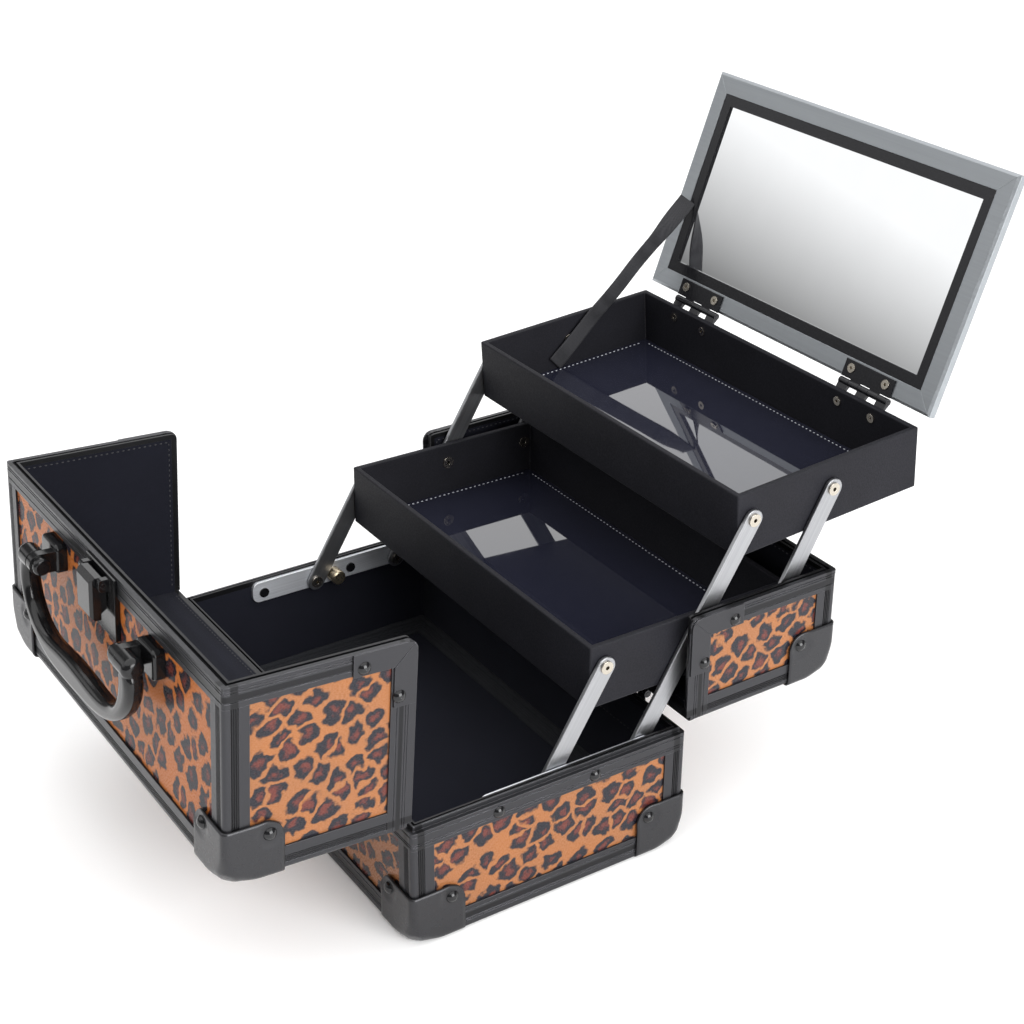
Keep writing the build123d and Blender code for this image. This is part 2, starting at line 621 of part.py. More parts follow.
def frame_grooves(split, rail):
    """Shallow grooves round the lid's outside: fine lines on the rims, a ribbed band on the edges."""
    near = HINGE_GAP
    # (centre, size) of thin slabs that cross the shell, and are hollowed to leave only a shallow cut
    slabs = []
    for up in RIM_GROOVES:
        slabs.append(((0, near, up), (CASE_W + 2, 2 * (split + 2), GROOVE_W)))
        slabs.append(((0, split - up, LID_H), (CASE_W + 2, GROOVE_W, 2 * (LID_H + 2))))
    for inset in GROOVES:
        slabs.append(((0, near + inset, LID_RIM_H + 50), (CASE_W + 2, GROOVE_W, 100)))
        slabs.append(((0, rail - 50, LID_H - inset), (CASE_W + 2, 100, GROOVE_W)))
        for side in (-1, 1):
            slabs.append(((side * (HALF_W - inset), rail - 50, LID_RIM_H + 50), (GROOVE_W, 100, 100)))
    grooves = []
    for centre, size in slabs:
        with BuildPart(mode=Mode.PRIVATE) as groove:
            with Locations(centre):
                Box(*size)
            lid_core()
        grooves.append(groove.part)
    return grooves


def lid_core():
    """Take away everything deeper than a groove inside the lid's outer faces."""
    with Locations((0, HINGE_GAP + GROOVE_DEPTH, -10)):
        Box(
            CASE_W - 2 * GROOVE_DEPTH,
            300,
            LID_H - GROOVE_DEPTH + 10,
            align=(Align.CENTER, Align.MIN, Align.MIN),
            mode=Mode.SUBTRACT,
        )


def lid_caps():
    with BuildPart() as caps:
        for corner in LID_CORNERS:
            add(at_corner(CAP_SOLID, *corner))
    return caps


def mitre_brackets(split):
    """Flat corner plates over the joint of the two rims, with a mitre line across the corner."""
    _, mitres = lid_rivet_seats(split)
    with BuildPart() as brackets:
        with BuildSketch(Plane.YZ.offset(HALF_W)):
            with Locations((split, -1.5)):
                Rectangle(MITRE_L, MITRE_W, align=(Align.MAX, Align.MIN))
                Rectangle(MITRE_W, MITRE_L, align=(Align.MAX, Align.MIN))
            outer = vertices().sort_by(Axis((0, 0, 0), (1, -1, 0)))[-1]
            fillet(outer, CORNER_R)
        extrude(amount=MITRE_T)
        with BuildSketch(Plane.YZ.offset(HALF_W + MITRE_T)):
            with Locations((split - MITRE_W / 2, MITRE_W / 2 - 1.5)):
                Rectangle(MITRE_W * 1.6, 0.3, rotation=-45)
        extrude(amount=-0.3, mode=Mode.SUBTRACT)
        mirror(about=Plane.YZ)
        rivet_holes(mitres, 2)
    return brackets


def lid_rivets(split):
    caps, mitres = lid_rivet_seats(split)
    with BuildPart() as rivets:
        for seat in caps + mitres:
            rivet(seat, 4.5)
    return rivets


def lid_hinge_leaves():
    with BuildPart() as leaves:
        for x in (-HINGE_X, HINGE_X):
            add(Location((x, 0, 0)) * LID_LEAF)
    return leaves


def lid_pieces(split, wall_name):
    """Every piece that the two lids have in common, drawn shut."""
    top, outer, sides = lid_panels(split)
    return {
        "top_panel": top,
        wall_name: outer,
        "side_panels": sides,
        "lining": lid_lining(split),
        "frame": lid_frame(split),
        "corner_caps": lid_caps(),
        "mitre_brackets": mitre_brackets(split),
        "rivets": lid_rivets(split),
        "hinge_leaves": lid_hinge_leaves(),
    }


for name, piece in lid_pieces(FRONT_SPLIT, "front_panel").items():
    save(piece, f"front_lid_{name}", FRONT_LID)

for name, piece in lid_pieces(REAR_SPLIT, "rear_panel").items():
    with BuildPart() as turned:
        add(flip(piece.part.solids(), Plane.XZ))
    save(turned, f"rear_lid_{name}", REAR_LID)

# ---------------------------------------------------------------- handle, on the front lid's top

HANDLE_Y = HINGE_GAP + HALF_D
HANDLE_Z = LID_H + HANDLE_PIVOT_H
BAIL_X = HANDLE_SPAN / 2
FOOT_X, FOOT_D, FOOT_H = (45.0, 63.5), 14.3, 5.5
CHEEK_X, CHEEK_R = (45.5, 50.0), 5.0
INNER_BOSS_X, INNER_BOSS_R = 41.5, 4.2
KNOB_X, KNOB_R = (50.3, 62.3), 5.2
HANDLE_PIN_X = (43.0, 59.5)
HANDLE_PIN_R, HANDLE_BORE_R = 1.5, 1.57
LEG_T, LEG_W = 9.0, 8.8
LATCH_Y, LATCH_Z = FRONT_SPLIT - 5.0, LID_H + 4.6  # the latch's pin
LATCH_PIN_R, LATCH_BORE_R = 1.2, 1.26


def handle_bar(side, start, end, radius):
    """A round bar along the handle's pivot, from start to end as measured outwards from the middle."""
    return facing(side * start, HANDLE_Y, HANDLE_Z, (side, 0, 0)), radius, end - start


with BuildPart() as handle_mounts:
    with Locations((sum(FOOT_X) / 2, HANDLE_Y, LID_H - SKIN)):
        Box(FOOT_X[1] - FOOT_X[0], FOOT_D, FOOT_H, align=(Align.CENTER, Align.CENTER, Align.MIN))
    fillet(handle_mounts.edges().filter_by(Axis.Z), 3)
    fillet(handle_mounts.faces().sort_by(Axis.Z)[-1].edges(), 1.5)
    with BuildSketch(Plane.YZ.offset(CHEEK_X[0])):
        with Locations((HANDLE_Y, HANDLE_Z)):
            Circle(CHEEK_R)
        with Locations((HANDLE_Y, LID_H + 2)):
            Rectangle(2 * CHEEK_R, HANDLE_PIVOT_H - 2, align=(Align.CENTER, Align.MIN))
    extrude(amount=CHEEK_X[1] - CHEEK_X[0])
    disc(*handle_bar(1, INNER_BOSS_X, CHEEK_X[0], INNER_BOSS_R))
    fillet(handle_mounts.edges().filter_by(GeomType.CIRCLE).sort_by(Axis.X)[0], 1.5)
    disc(*handle_bar(1, HANDLE_PIN_X[0], CHEEK_X[1] + 1, HANDLE_BORE_R), Mode.SUBTRACT)
    mirror(about=Plane.YZ)
save(handle_mounts, "handle_mounts", FRONT_LID)

with BuildPart() as handle_and_latch_pins:
    for side in (-1, 1):
        disc(*handle_bar(side, *HANDLE_PIN_X, HANDLE_PIN_R))
    disc(facing(0, LATCH_Y, LATCH_Z, (1, 0, 0)), LATCH_PIN_R, 11.5, both=True)
save(handle_and_latch_pins, "handle_and_latch_pins", FRONT_LID)

with BuildPart() as handle_knobs:
    disc(*handle_bar(1, *KNOB_X, KNOB_R))
    fillet(handle_knobs.edges().sort_by(Axis.X)[-1], 3.5)
    mirror(about=Plane.YZ)

with BuildPart() as handle_grip:
    drop = HANDLE_Y - HANDLE_DROP
    with BuildLine() as bow:
        Spline(
            (BAIL_X, HANDLE_Y - 1, HANDLE_Z),
            (BAIL_X - 1.5, HANDLE_Y - 16, HANDLE_Z),
            (BAIL_X - 15, drop + 3, HANDLE_Z),
            (0, drop, HANDLE_Z),
            (-BAIL_X + 15, drop + 3, HANDLE_Z),
            (-BAIL_X + 1.5, HANDLE_Y - 16, HANDLE_Z),
            (-BAIL_X, HANDLE_Y - 1, HANDLE_Z),
            tangents=((0, -1, 0), (0, 1, 0)),
        )
    stations = (0.0, 0.12, 0.3, 0.5, 0.7, 0.88, 1.0)
    swell = (1.0, 1.0, 1.15, 1.53, 1.15, 1.0, 1.0)
    sections = []
    for at, fat in zip(stations, swell):
        centre, direction = bow.line @ at, bow.line % at
        with BuildSketch(Plane(origin=centre, x_dir=(0, 0, 1), z_dir=direction)) as section:
            RectangleRounded(LEG_T, LEG_W * fat, 3.5)
        sections.append(section.sketch)
    loft(sections)
    add(handle_knobs.part)
    for side in (-1, 1):
        disc(*handle_bar(side, KNOB_X[0] - 1, HANDLE_PIN_X[1] + 0.3, HANDLE_BORE_R), Mode.SUBTRACT)
save(handle_grip, "handle_grip", FRONT_LID)

# ---------------------------------------------------------------- latch, on the front lid's top

LATCH_W = 16.0
LATCH_TOP = LID_H + 9.4
LATCH_LOW = LID_H + 1.9
LATCH_Y0 = LATCH_Y - 18.0
LATCH_BASE_W, LATCH_BASE_Y = 32.0, HINGE_GAP + 63

with BuildPart() as latch_base:
    with Locations((0, LATCH_BASE_Y, LID_H - SKIN)):
        length = FRONT_SPLIT - LID_RIM_H - LATCH_BASE_Y
        Box(LATCH_BASE_W, length, 2.5, align=(Align.CENTER, Align.MIN, Align.MIN))
    with Locations((0, FRONT_SPLIT - LID_RIM_H - 0.5, LID_H)):
        Box(LATCH_BASE_W, LID_RIM_H - 0.5, 1.5, align=(Align.CENTER, Align.MIN, Align.MIN))
    for x in (-1, 1):
        with Locations((x * 10, LATCH_Y, LID_H)):
            Box(3, 6, 6.6, align=(Align.CENTER, Align.CENTER, Align.MIN))
    fillet(latch_base.edges().filter_by(Axis.X).group_by(Axis.Z)[-1], 1.5)
    disc(facing(0, LATCH_Y, LATCH_Z, (1, 0, 0)), LATCH_BORE_R, 20, Mode.SUBTRACT, both=True)
save(latch_base, "latch_base", FRONT_LID)

with BuildPart() as latch_lever:
    with BuildSketch(Plane.YZ.offset(-LATCH_W / 2)):
        with BuildLine():
            Polyline(
                (LATCH_Y0, LATCH_LOW + 2.6),
                (LATCH_Y0 + 3, LATCH_LOW + 2.6),
                (LATCH_Y0 + 5, LATCH_LOW),
                (LATCH_Y + 0.8, LATCH_LOW),
                (LATCH_Y + 2.6, LATCH_LOW + 1.8),
                (LATCH_Y + 2.8, LATCH_TOP - 2.5),
                (LATCH_Y + 0.5, LATCH_TOP),
                (LATCH_Y0 + 2, LATCH_TOP),
                (LATCH_Y0, LATCH_TOP - 2),
                close=True,
            )
        make_face()
    extrude(amount=LATCH_W)
    chamfer(latch_lever.edges().group_by(Axis.Z)[-1].filter_by(Axis.Y), 1.2)
    disc(facing(0, LATCH_Y, LATCH_Z, (1, 0, 0)), LATCH_BORE_R, 20, Mode.SUBTRACT, both=True)
save(latch_lever, "latch_lever", FRONT_LID)

with BuildPart() as latch_keeper:
    with Locations((0, -REAR_SPLIT + 0.5, LID_H)):
        Box(28, 9.5, 1.5, align=(Align.CENTER, Align.MIN, Align.MIN))
    with Locations((0, -REAR_SPLIT + 5, LID_H + 1.5)):
        Box(12, 12, 1.2, align=(Align.CENTER, Align.MAX, Align.MIN))
    with Locations((0, -REAR_SPLIT + 5, LID_H + 1.5)):
        Box(12, 4, 1.2, align=(Align.CENTER, Align.MIN, Align.MIN))
save(latch_keeper, "latch_keeper", REAR_LID)

# ---------------------------------------------------------------- lever arms


def arm(holes, reach, foot, angle, side):
    """A flat bar with rounded ends from foot = (y, z) at an angle; holes are (distance, radius)."""
    start = ARM_IN if side > 0 else -ARM_IN - ARM_T
    with BuildPart() as bar:
        with BuildSketch(Plane.YZ.offset(start)):
            with Locations(Location((foot[0], foot[1], 0), (0, 0, angle))):
                with Locations((reach / 2, 0)):
                    SlotCenterToCenter(reach, ARM_W)
                for distance, radius in holes:
                    with Locations((distance, 0)):
                        Circle(radius, mode=Mode.SUBTRACT)
        extrude(amount=ARM_T)
        faces = bar.faces().filter_by(Axis.X)
        chamfer([face.outer_wire().edges() for face in faces][0], 0.3)
        chamfer(bar.faces().filter_by(Axis.X).sort_by(Axis.X)[-1].outer_wire().edges(), 0.3)
    return bar


LONG_HOLES = [(0, PIVOT_HOLE_R), (ARM_PITCH, PIVOT_HOLE_R), (2 * ARM_PITCH, PIVOT_HOLE_R)]
FRONT_HOLES = [(0, PIVOT_HOLE_R), (ARM_PITCH, LOOSE_HOLE_R)]
REAR_HOLES = [(0, PIVOT_HOLE_R), (REAR_ARM_PITCH, LOOSEST_HOLE_R)]
for side, word in ((-1, "left"), (1, "right")):
    long_arm = arm(LONG_HOLES, 2 * ARM_PITCH, (REAR_PIVOT_Y, PIVOT_Z), ARM_REST, side)
    save(long_arm, f"long_arm_{word}")
    front_arm = arm(FRONT_HOLES, ARM_PITCH, (FRONT_PIVOT_Y, PIVOT_Z), ARM_REST, side)
    save(front_arm, f"front_arm_{word}")
    rear_arm = arm(REAR_HOLES, REAR_ARM_PITCH, LOWER_REAR_PIVOT, REAR_ARM_REST, side)
    save(rear_arm, f"rear_arm_{word}")

# ---------------------------------------------------------------- trays, drawn level about their centres

SHEET_T = 0.6
RIVET_IN = TRAY_W / 2 - TRAY_WALL  # inner face of the tray's wall
RIVET_OUT = ARM_IN + ARM_T + 0.1
MIRROR_HINGE_X, MIRROR_LEAF_W, MIRROR_RIVET_DX = 67.5, 35.0, 12.3
LEAF_RIVET_DOWN = 6.0
SMALL_HEAD_R, SMALL_HEAD_T, SMALL_DIMPLE_R = 2.4, 0.6, 0.8  # the mirror hinges' rivets
LOWER_PIVOTS = (-PIVOT_SPAN, 0, PIVOT_SPAN)
UPPER_PIVOTS = (-UPPER_SPAN, 0)


def tray_box(depth, pivots, pivot_z, rear_rivets=()):
    with BuildPart() as box:
        Box(TRAY_W, depth, TRAY_H)
        fillet(box.edges().filter_by(Axis.Z), 1.0)
        with Locations((0, 0, TRAY_WALL)):
            Box(TRAY_W - 2 * TRAY_WALL, depth - 2 * TRAY_WALL, TRAY_H, mode=Mode.SUBTRACT)
        fillet(box.faces().sort_by(Axis.Z)[-1].edges(), 0.7)
        with BuildSketch(Plane.YZ):
            with Locations([(y, pivot_z) for y in pivots]):
                Circle(PIVOT_HOLE_R)
        extrude(amount=TRAY_W, both=True, mode=Mode.SUBTRACT)
        if rear_rivets:
            with BuildSketch(Plane.XZ.offset(-depth / 2 + TRAY_WALL + 1)):
                with Locations([(x, TRAY_H / 2 - LEAF_RIVET_DOWN) for x in rear_rivets]):
                    Circle(RIVET_HOLE_R)
            extrude(amount=-TRAY_WALL - 2, mode=Mode.SUBTRACT)
    return box


def tray_sheet(depth):
    with BuildPart() as sheet:
        with Locations((0, 0, -TRAY_H / 2 + TRAY_WALL)):
            Box(
                TRAY_W - 2 * TRAY_WALL - 1,
                depth - 2 * TRAY_WALL - 1,
                SHEET_T,
                align=(Align.CENTER, Align.CENTER, Align.MIN),
            )
    return sheet


def tray_rivets(pivots, pivot_z):
    with BuildPart() as rivets:
        for side in (-1, 1):
            for y in pivots:
                eyelet(RIVET_IN, RIVET_OUT, y, pivot_z, side)
    return rivets


MIRROR_RIVETS_X = [
    side * MIRROR_HINGE_X + dx for side in (-1, 1) for dx in (-MIRROR_RIVET_DX, MIRROR_RIVET_DX)
]

save(tray_box(LOWER_TRAY_D, LOWER_PIVOTS, LOWER_PIVOT_Z), "lower_tray_box", LOWER_TRAY)
save(tray_sheet(LOWER_TRAY_D), "lower_tray_floor_sheet", LOWER_TRAY)
save(tray_rivets(LOWER_PIVOTS, LOWER_PIVOT_Z), "lower_tray_rivets", LOWER_TRAY)
save(tray_box(UPPER_TRAY_D, UPPER_PIVOTS, UPPER_PIVOT_Z, MIRROR_RIVETS_X), "upper_tray_box", UPPER_TRAY)
save(tray_sheet(UPPER_TRAY_D), "upper_tray_floor_sheet", UPPER_TRAY)

upper_tray_rivets = tray_rivets(UPPER_PIVOTS, UPPER_PIVOT_Z)
with upper_tray_rivets:
    for x in MIRROR_RIVETS_X:
        inside = facing(x, UPPER_TRAY_D / 2 - TRAY_WALL, TRAY_H / 2 - LEAF_RIVET_DOWN, (0, -1, 0))
        disc(inside, SMALL_HEAD_R, SMALL_HEAD_T)
        disc(inside, RIVET_R, -TRAY_WALL)
        disc(inside.offset(SMALL_HEAD_T), SMALL_DIMPLE_R, -2.0, Mode.SUBTRACT)
save(upper_tray_rivets, "upper_tray_rivets", UPPER_TRAY)

# ---------------------------------------------------------------- mirror hinges

M_KNUCKLE_R, M_PIN_R, M_BORE_R = 1.8, 0.9, 0.96
M_LEAF_T = 0.8
M_KNUCKLES = 5
M_PITCH = MIRROR_LEAF_W / M_KNUCKLES
TRAY_LEAF_DROP = 12.0
MIRROR_LEAF_REACH = 11.5

# Tray leaves, drawn with the tray: plate outside its rear wall, knuckles on the hinge axis
AXIS_Y, AXIS_Z = UPPER_TRAY_D / 2 + MIRROR_AXIS[0], TRAY_H / 2 + MIRROR_AXIS[1]
with BuildPart() as mirror_hinge_tray_leaves:
    for side in (-1, 1):
        left = side * MIRROR_HINGE_X - MIRROR_LEAF_W / 2
        with Locations((left, UPPER_TRAY_D / 2, TRAY_H / 2 - TRAY_LEAF_DROP)):
            Box(MIRROR_LEAF_W, M_LEAF_T, TRAY_LEAF_DROP - 0.8, align=(Align.MIN,) * 3)
        for i in (0, 2, 4):
            with BuildSketch(Plane.YZ.offset(left + i * M_PITCH + 0.1)):
                with Locations((AXIS_Y, AXIS_Z)):
                    Circle(M_KNUCKLE_R)
                with BuildLine():
                    Polyline(
                        (UPPER_TRAY_D / 2, TRAY_H / 2 - 2.0),
                        (UPPER_TRAY_D / 2 + M_LEAF_T, TRAY_H / 2 - 2.0),
                        (AXIS_Y + 1.2, AXIS_Z - 1.2),
                        (AXIS_Y, AXIS_Z),
                        (AXIS_Y - 1.2, AXIS_Z),
                        (UPPER_TRAY_D / 2, TRAY_H / 2 - 0.8),
                        close=True,
                    )
                make_face()
                with Locations((AXIS_Y, AXIS_Z)):
                    Circle(M_BORE_R, mode=Mode.SUBTRACT)
            extrude(amount=M_PITCH - 0.2)
save(mirror_hinge_tray_leaves, "mirror_hinge_tray_leaves", UPPER_TRAY)

with BuildPart() as mirror_hinge_pins:
    for side in (-1, 1):
        middle = facing(side * MIRROR_HINGE_X, AXIS_Y, AXIS_Z, (1, 0, 0))
        disc(middle, M_PIN_R, MIRROR_LEAF_W / 2, both=True)
save(mirror_hinge_pins, "mirror_hinge_pins", UPPER_TRAY)

# ---------------------------------------------------------------- mirror, drawn lying shut about its hinge
# It reaches forwards (-y) from the hinge axis. Its face is on z = 0, looking down, and its back is up.

FRAME_FACE = 10.2
BORDER_W = 6.0
BEVEL = 1.2
GLASS_T = 2.0
FRAME_IN_W, FRAME_IN_D = MIRROR_W - 2 * FRAME_FACE, MIRROR_D - 2 * FRAME_FACE
MIRROR_MID_Y = -MIRROR_START - MIRROR_D / 2
MIRROR_RIVET_Y = -MIRROR_START - 5.4
GLASS_FACE = 1.6  # face of the glass behind the frame's face

with BuildPart() as mirror_hinge_leaves:
    for side in (-1, 1):
        left = side * MIRROR_HINGE_X - MIRROR_LEAF_W / 2
        with Locations((left, -MIRROR_LEAF_REACH, -M_LEAF_T)):
            plate_l = MIRROR_LEAF_REACH - M_KNUCKLE_R - 0.5
            Box(MIRROR_LEAF_W, plate_l, M_LEAF_T, align=(Align.MIN,) * 3)
        for i in (1, 3):
            with BuildSketch(Plane.YZ.offset(left + i * M_PITCH + 0.1)):
                Circle(M_KNUCKLE_R)
                with Locations((-M_KNUCKLE_R - 1, -M_LEAF_T)):
                    Rectangle(M_KNUCKLE_R + 1, M_LEAF_T, align=(Align.MIN, Align.MIN))
                Circle(M_BORE_R, mode=Mode.SUBTRACT)
            extrude(amount=M_PITCH - 0.2)
    for x in MIRROR_RIVETS_X:
        disc(facing(x, MIRROR_RIVET_Y, 0, (0, 0, -1)), RIVET_HOLE_R, 3, Mode.SUBTRACT)
save(mirror_hinge_leaves, "mirror_hinge_leaves", MIRROR)


def mirror_outline(inset):
    with Locations((0, MIRROR_MID_Y)):
        Rectangle(MIRROR_W - 2 * inset, MIRROR_D - 2 * inset)


with BuildPart() as mirror_frame:
    # the outer edge is bevelled back from the face
    with BuildSketch(Plane.XY.offset(BEVEL)):
        mirror_outline(0)
    extrude(amount=MIRROR_T - BEVEL)
    with BuildSketch(Plane.XY.offset(BEVEL)):
        mirror_outline(0)
    extrude(amount=-BEVEL, taper=50)
    with BuildSketch(Plane.XY.offset(-1)):
        mirror_outline(FRAME_FACE)
    extrude(amount=MIRROR_T + 2, mode=Mode.SUBTRACT)
    for x in MIRROR_RIVETS_X:
        disc(facing(x, MIRROR_RIVET_Y, 0, (0, 0, -1)), RIVET_HOLE_R, -3, Mode.SUBTRACT)
    # mitre lines, which part the four rails
    for sx in (-1, 1):
        for sy in (-1, 1):
            corner_y = MIRROR_MID_Y + sy * MIRROR_D / 2
            place = Location((sx * MIRROR_W / 2, corner_y, MIRROR_T / 2), (0, 0, 45 * sx * sy))
            with Locations(place):
                Box(4 * FRAME_FACE, 0.1, MIRROR_T + 4, mode=Mode.SUBTRACT)
save(mirror_frame, "mirror_frame", MIRROR)

with BuildPart() as mirror_border:
    with BuildSketch(Plane.XY.offset(0.4)):
        mirror_outline(FRAME_FACE)
        with Locations((0, MIRROR_MID_Y)):
            Rectangle(FRAME_IN_W - 2 * BORDER_W, FRAME_IN_D - 2 * BORDER_W, mode=Mode.SUBTRACT)
    extrude(amount=1.2)
save(mirror_border, "mirror_border", MIRROR)

with BuildPart() as mirror_glass:
    with Locations((0, MIRROR_MID_Y, GLASS_FACE + GLASS_T / 2)):
        Box(FRAME_IN_W - 1, FRAME_IN_D - 1, GLASS_T)
save(mirror_glass, "mirror_glass", MIRROR)

with BuildPart() as mirror_backing:
    with Locations((0, MIRROR_MID_Y, (GLASS_FACE + GLASS_T + MIRROR_T) / 2)):
        Box(FRAME_IN_W, FRAME_IN_D, MIRROR_T - GLASS_FACE - GLASS_T)
save(mirror_backing, "mirror_backing", MIRROR)

with BuildPart() as mirror_rivets:
    for x in MIRROR_RIVETS_X:
        seat = facing(x, MIRROR_RIVET_Y, -M_LEAF_T, (0, 0, -1))
        disc(seat, SMALL_HEAD_R, SMALL_HEAD_T)
        disc(seat, RIVET_R, -M_LEAF_T - 3)
        disc(seat.offset(SMALL_HEAD_T), SMALL_DIMPLE_R, -2.0, Mode.SUBTRACT)
save(mirror_rivets, "mirror_rivets", MIRROR)

# ---------------------------------------------------------------- ribbon that stops the mirror

STRAP_W, STRAP_T = 9.0, 0.8
STRAP_X = -TRAY_W / 2 + TRAY_WALL + 1.4
STRAP_FOOT = (UPPER_TRAY * Location((STRAP_X, -11, -9))).position
STRAP_HEAD = (MIRROR * Location((-MIRROR_W / 2 + FRAME_FACE, -MIRROR_START - 50, 0))).position
run = STRAP_HEAD - STRAP_FOOT

with BuildPart() as mirror_strap:
    with BuildSketch(Plane(origin=STRAP_FOOT, x_dir=(1, 0, 0), z_dir=run)):
        Rectangle(STRAP_T, STRAP_W)
    extrude(amount=run.length + STRAP_W)
    # its end lies along the mirror's face
    with Locations(MIRROR * Location((0, 0, -0.1))):
        behind = (Align.CENTER, Align.CENTER, Align.MIN)
        Box(MIRROR_W, 3 * MIRROR_D, 60, align=behind, mode=Mode.SUBTRACT)
save(mirror_strap, "mirror_strap")
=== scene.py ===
import json
import math

import bpy
import bmesh
from mathutils import Matrix, Vector, noise


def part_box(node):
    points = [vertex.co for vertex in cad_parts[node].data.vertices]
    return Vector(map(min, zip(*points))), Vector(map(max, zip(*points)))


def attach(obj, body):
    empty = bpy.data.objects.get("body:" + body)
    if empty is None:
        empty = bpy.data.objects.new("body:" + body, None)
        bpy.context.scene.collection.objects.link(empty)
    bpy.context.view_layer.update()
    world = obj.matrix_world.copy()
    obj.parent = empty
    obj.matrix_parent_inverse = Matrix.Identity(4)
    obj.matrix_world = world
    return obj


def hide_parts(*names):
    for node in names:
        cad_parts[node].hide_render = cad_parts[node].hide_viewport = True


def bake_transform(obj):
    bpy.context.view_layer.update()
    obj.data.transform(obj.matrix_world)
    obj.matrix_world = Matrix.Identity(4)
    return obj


# A makeup train case, standing open. Metres, in the CAD model's own frame: +Z up, -Y the front.

MM = 0.001
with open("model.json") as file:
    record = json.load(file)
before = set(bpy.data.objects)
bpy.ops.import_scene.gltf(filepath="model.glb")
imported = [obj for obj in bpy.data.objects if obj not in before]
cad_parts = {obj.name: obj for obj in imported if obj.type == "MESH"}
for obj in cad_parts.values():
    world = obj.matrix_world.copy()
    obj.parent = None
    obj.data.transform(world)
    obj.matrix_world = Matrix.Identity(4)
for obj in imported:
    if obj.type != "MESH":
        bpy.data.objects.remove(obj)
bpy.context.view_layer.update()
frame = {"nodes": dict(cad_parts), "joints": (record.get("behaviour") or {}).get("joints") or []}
nodes = frame["nodes"]

# ---------------------------------------------------------------- places shared with the CAD model

CASE_W, CASE_D, BASE_H, LID_H = 240.0, 150.0, 65.0, 86.0
HALF_W, HALF_D = CASE_W / 2, CASE_D / 2
WALL = 5.0  # frame, board and lining together
IN_X, IN_Y, IN_TOP = HALF_W - WALL, HALF_D - WALL, LID_H - WALL
FLOOR_TOP = 5.0  # top of the lining on the main box's floor
HINGE_GAP = 2.2
FRONT_LID_D = 94.0
FRONT_SPLIT, REAR_SPLIT = HINGE_GAP + FRONT_LID_D, HINGE_GAP + CASE_D - FRONT_LID_D
FRONT_OPEN, REAR_OPEN = 86.7, 89.3  # degrees from shut
JOINT_AT = {j["name"]: Vector(j["pos_m"]) for j in frame["joints"]}
MIRROR_OPEN, TRAY_TILT = 114.5, 4.0
ARM_REST, REAR_ARM_REST = 58.8, 61.67  # degrees above horizontal
TRAY_W, TRAY_H, TRAY_WALL, SHEET_T = 220.0, 32.2, 3.0, 0.6
LOWER_TRAY_D, UPPER_TRAY_D = 115.0, 111.6
UPPER_SPAN, UPPER_PIVOT_Z = 48.0, 2.4  # the upper tray's centre from its front pivot
X, Y, Z = (1, 0, 0), (0, 1, 0), (0, 0, 1)


def about_x(origin, degrees):
    """The frame of a piece drawn about an axis along X and then turned about it."""
    return Matrix.Translation(origin) @ Matrix.Rotation(math.radians(degrees), 4, "X")


FRONT_LID = about_x(JOINT_AT["front_lid_hinge"], FRONT_OPEN)
REAR_LID = about_x(JOINT_AT["rear_lid_hinge"], -REAR_OPEN)
BASE = Matrix.Identity(4)
lower_low, lower_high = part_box("lower_tray_box")
LOWER_TRAY = Matrix.Translation((Vector(lower_low) + Vector(lower_high)) / 2)
TRAY_FROM_PIVOT = Matrix.Translation(Vector((0, UPPER_SPAN, -UPPER_PIVOT_Z)) * MM)
UPPER_TRAY = about_x(JOINT_AT["upper_tray_level"], TRAY_TILT) @ TRAY_FROM_PIVOT
MIRROR = about_x(JOINT_AT["mirror_tilt"], TRAY_TILT - MIRROR_OPEN)

# ---------------------------------------------------------------- camera

CAMERA_AT = Vector((0.7008, -0.4068, 0.5669))
YAW, PITCH, ROLL = 56.63, 27.38, 0.52  # degrees: left of straight ahead, downwards, clockwise
LENS = 67.0

yaw, pitch, roll = (math.radians(a) for a in (YAW, PITCH, ROLL))
forward = Vector((-math.sin(yaw) * math.cos(pitch), math.cos(yaw) * math.cos(pitch), -math.sin(pitch)))
level = Vector((math.cos(yaw), math.sin(yaw), 0))
upward = level.cross(forward)
right = level * math.cos(roll) + upward * math.sin(roll)
upward = right.cross(forward)
turn = Matrix((right, upward, -forward)).transposed()

camera = bpy.data.objects.new("camera", bpy.data.cameras.new("camera"))
camera.data.lens = LENS
camera.data.clip_start, camera.data.clip_end = 0.05, 20
camera.matrix_world = Matrix.Translation(CAMERA_AT) @ turn.to_4x4()
bpy.context.scene.collection.objects.link(camera)
bpy.context.scene.camera = camera

# ---------------------------------------------------------------- node helpers


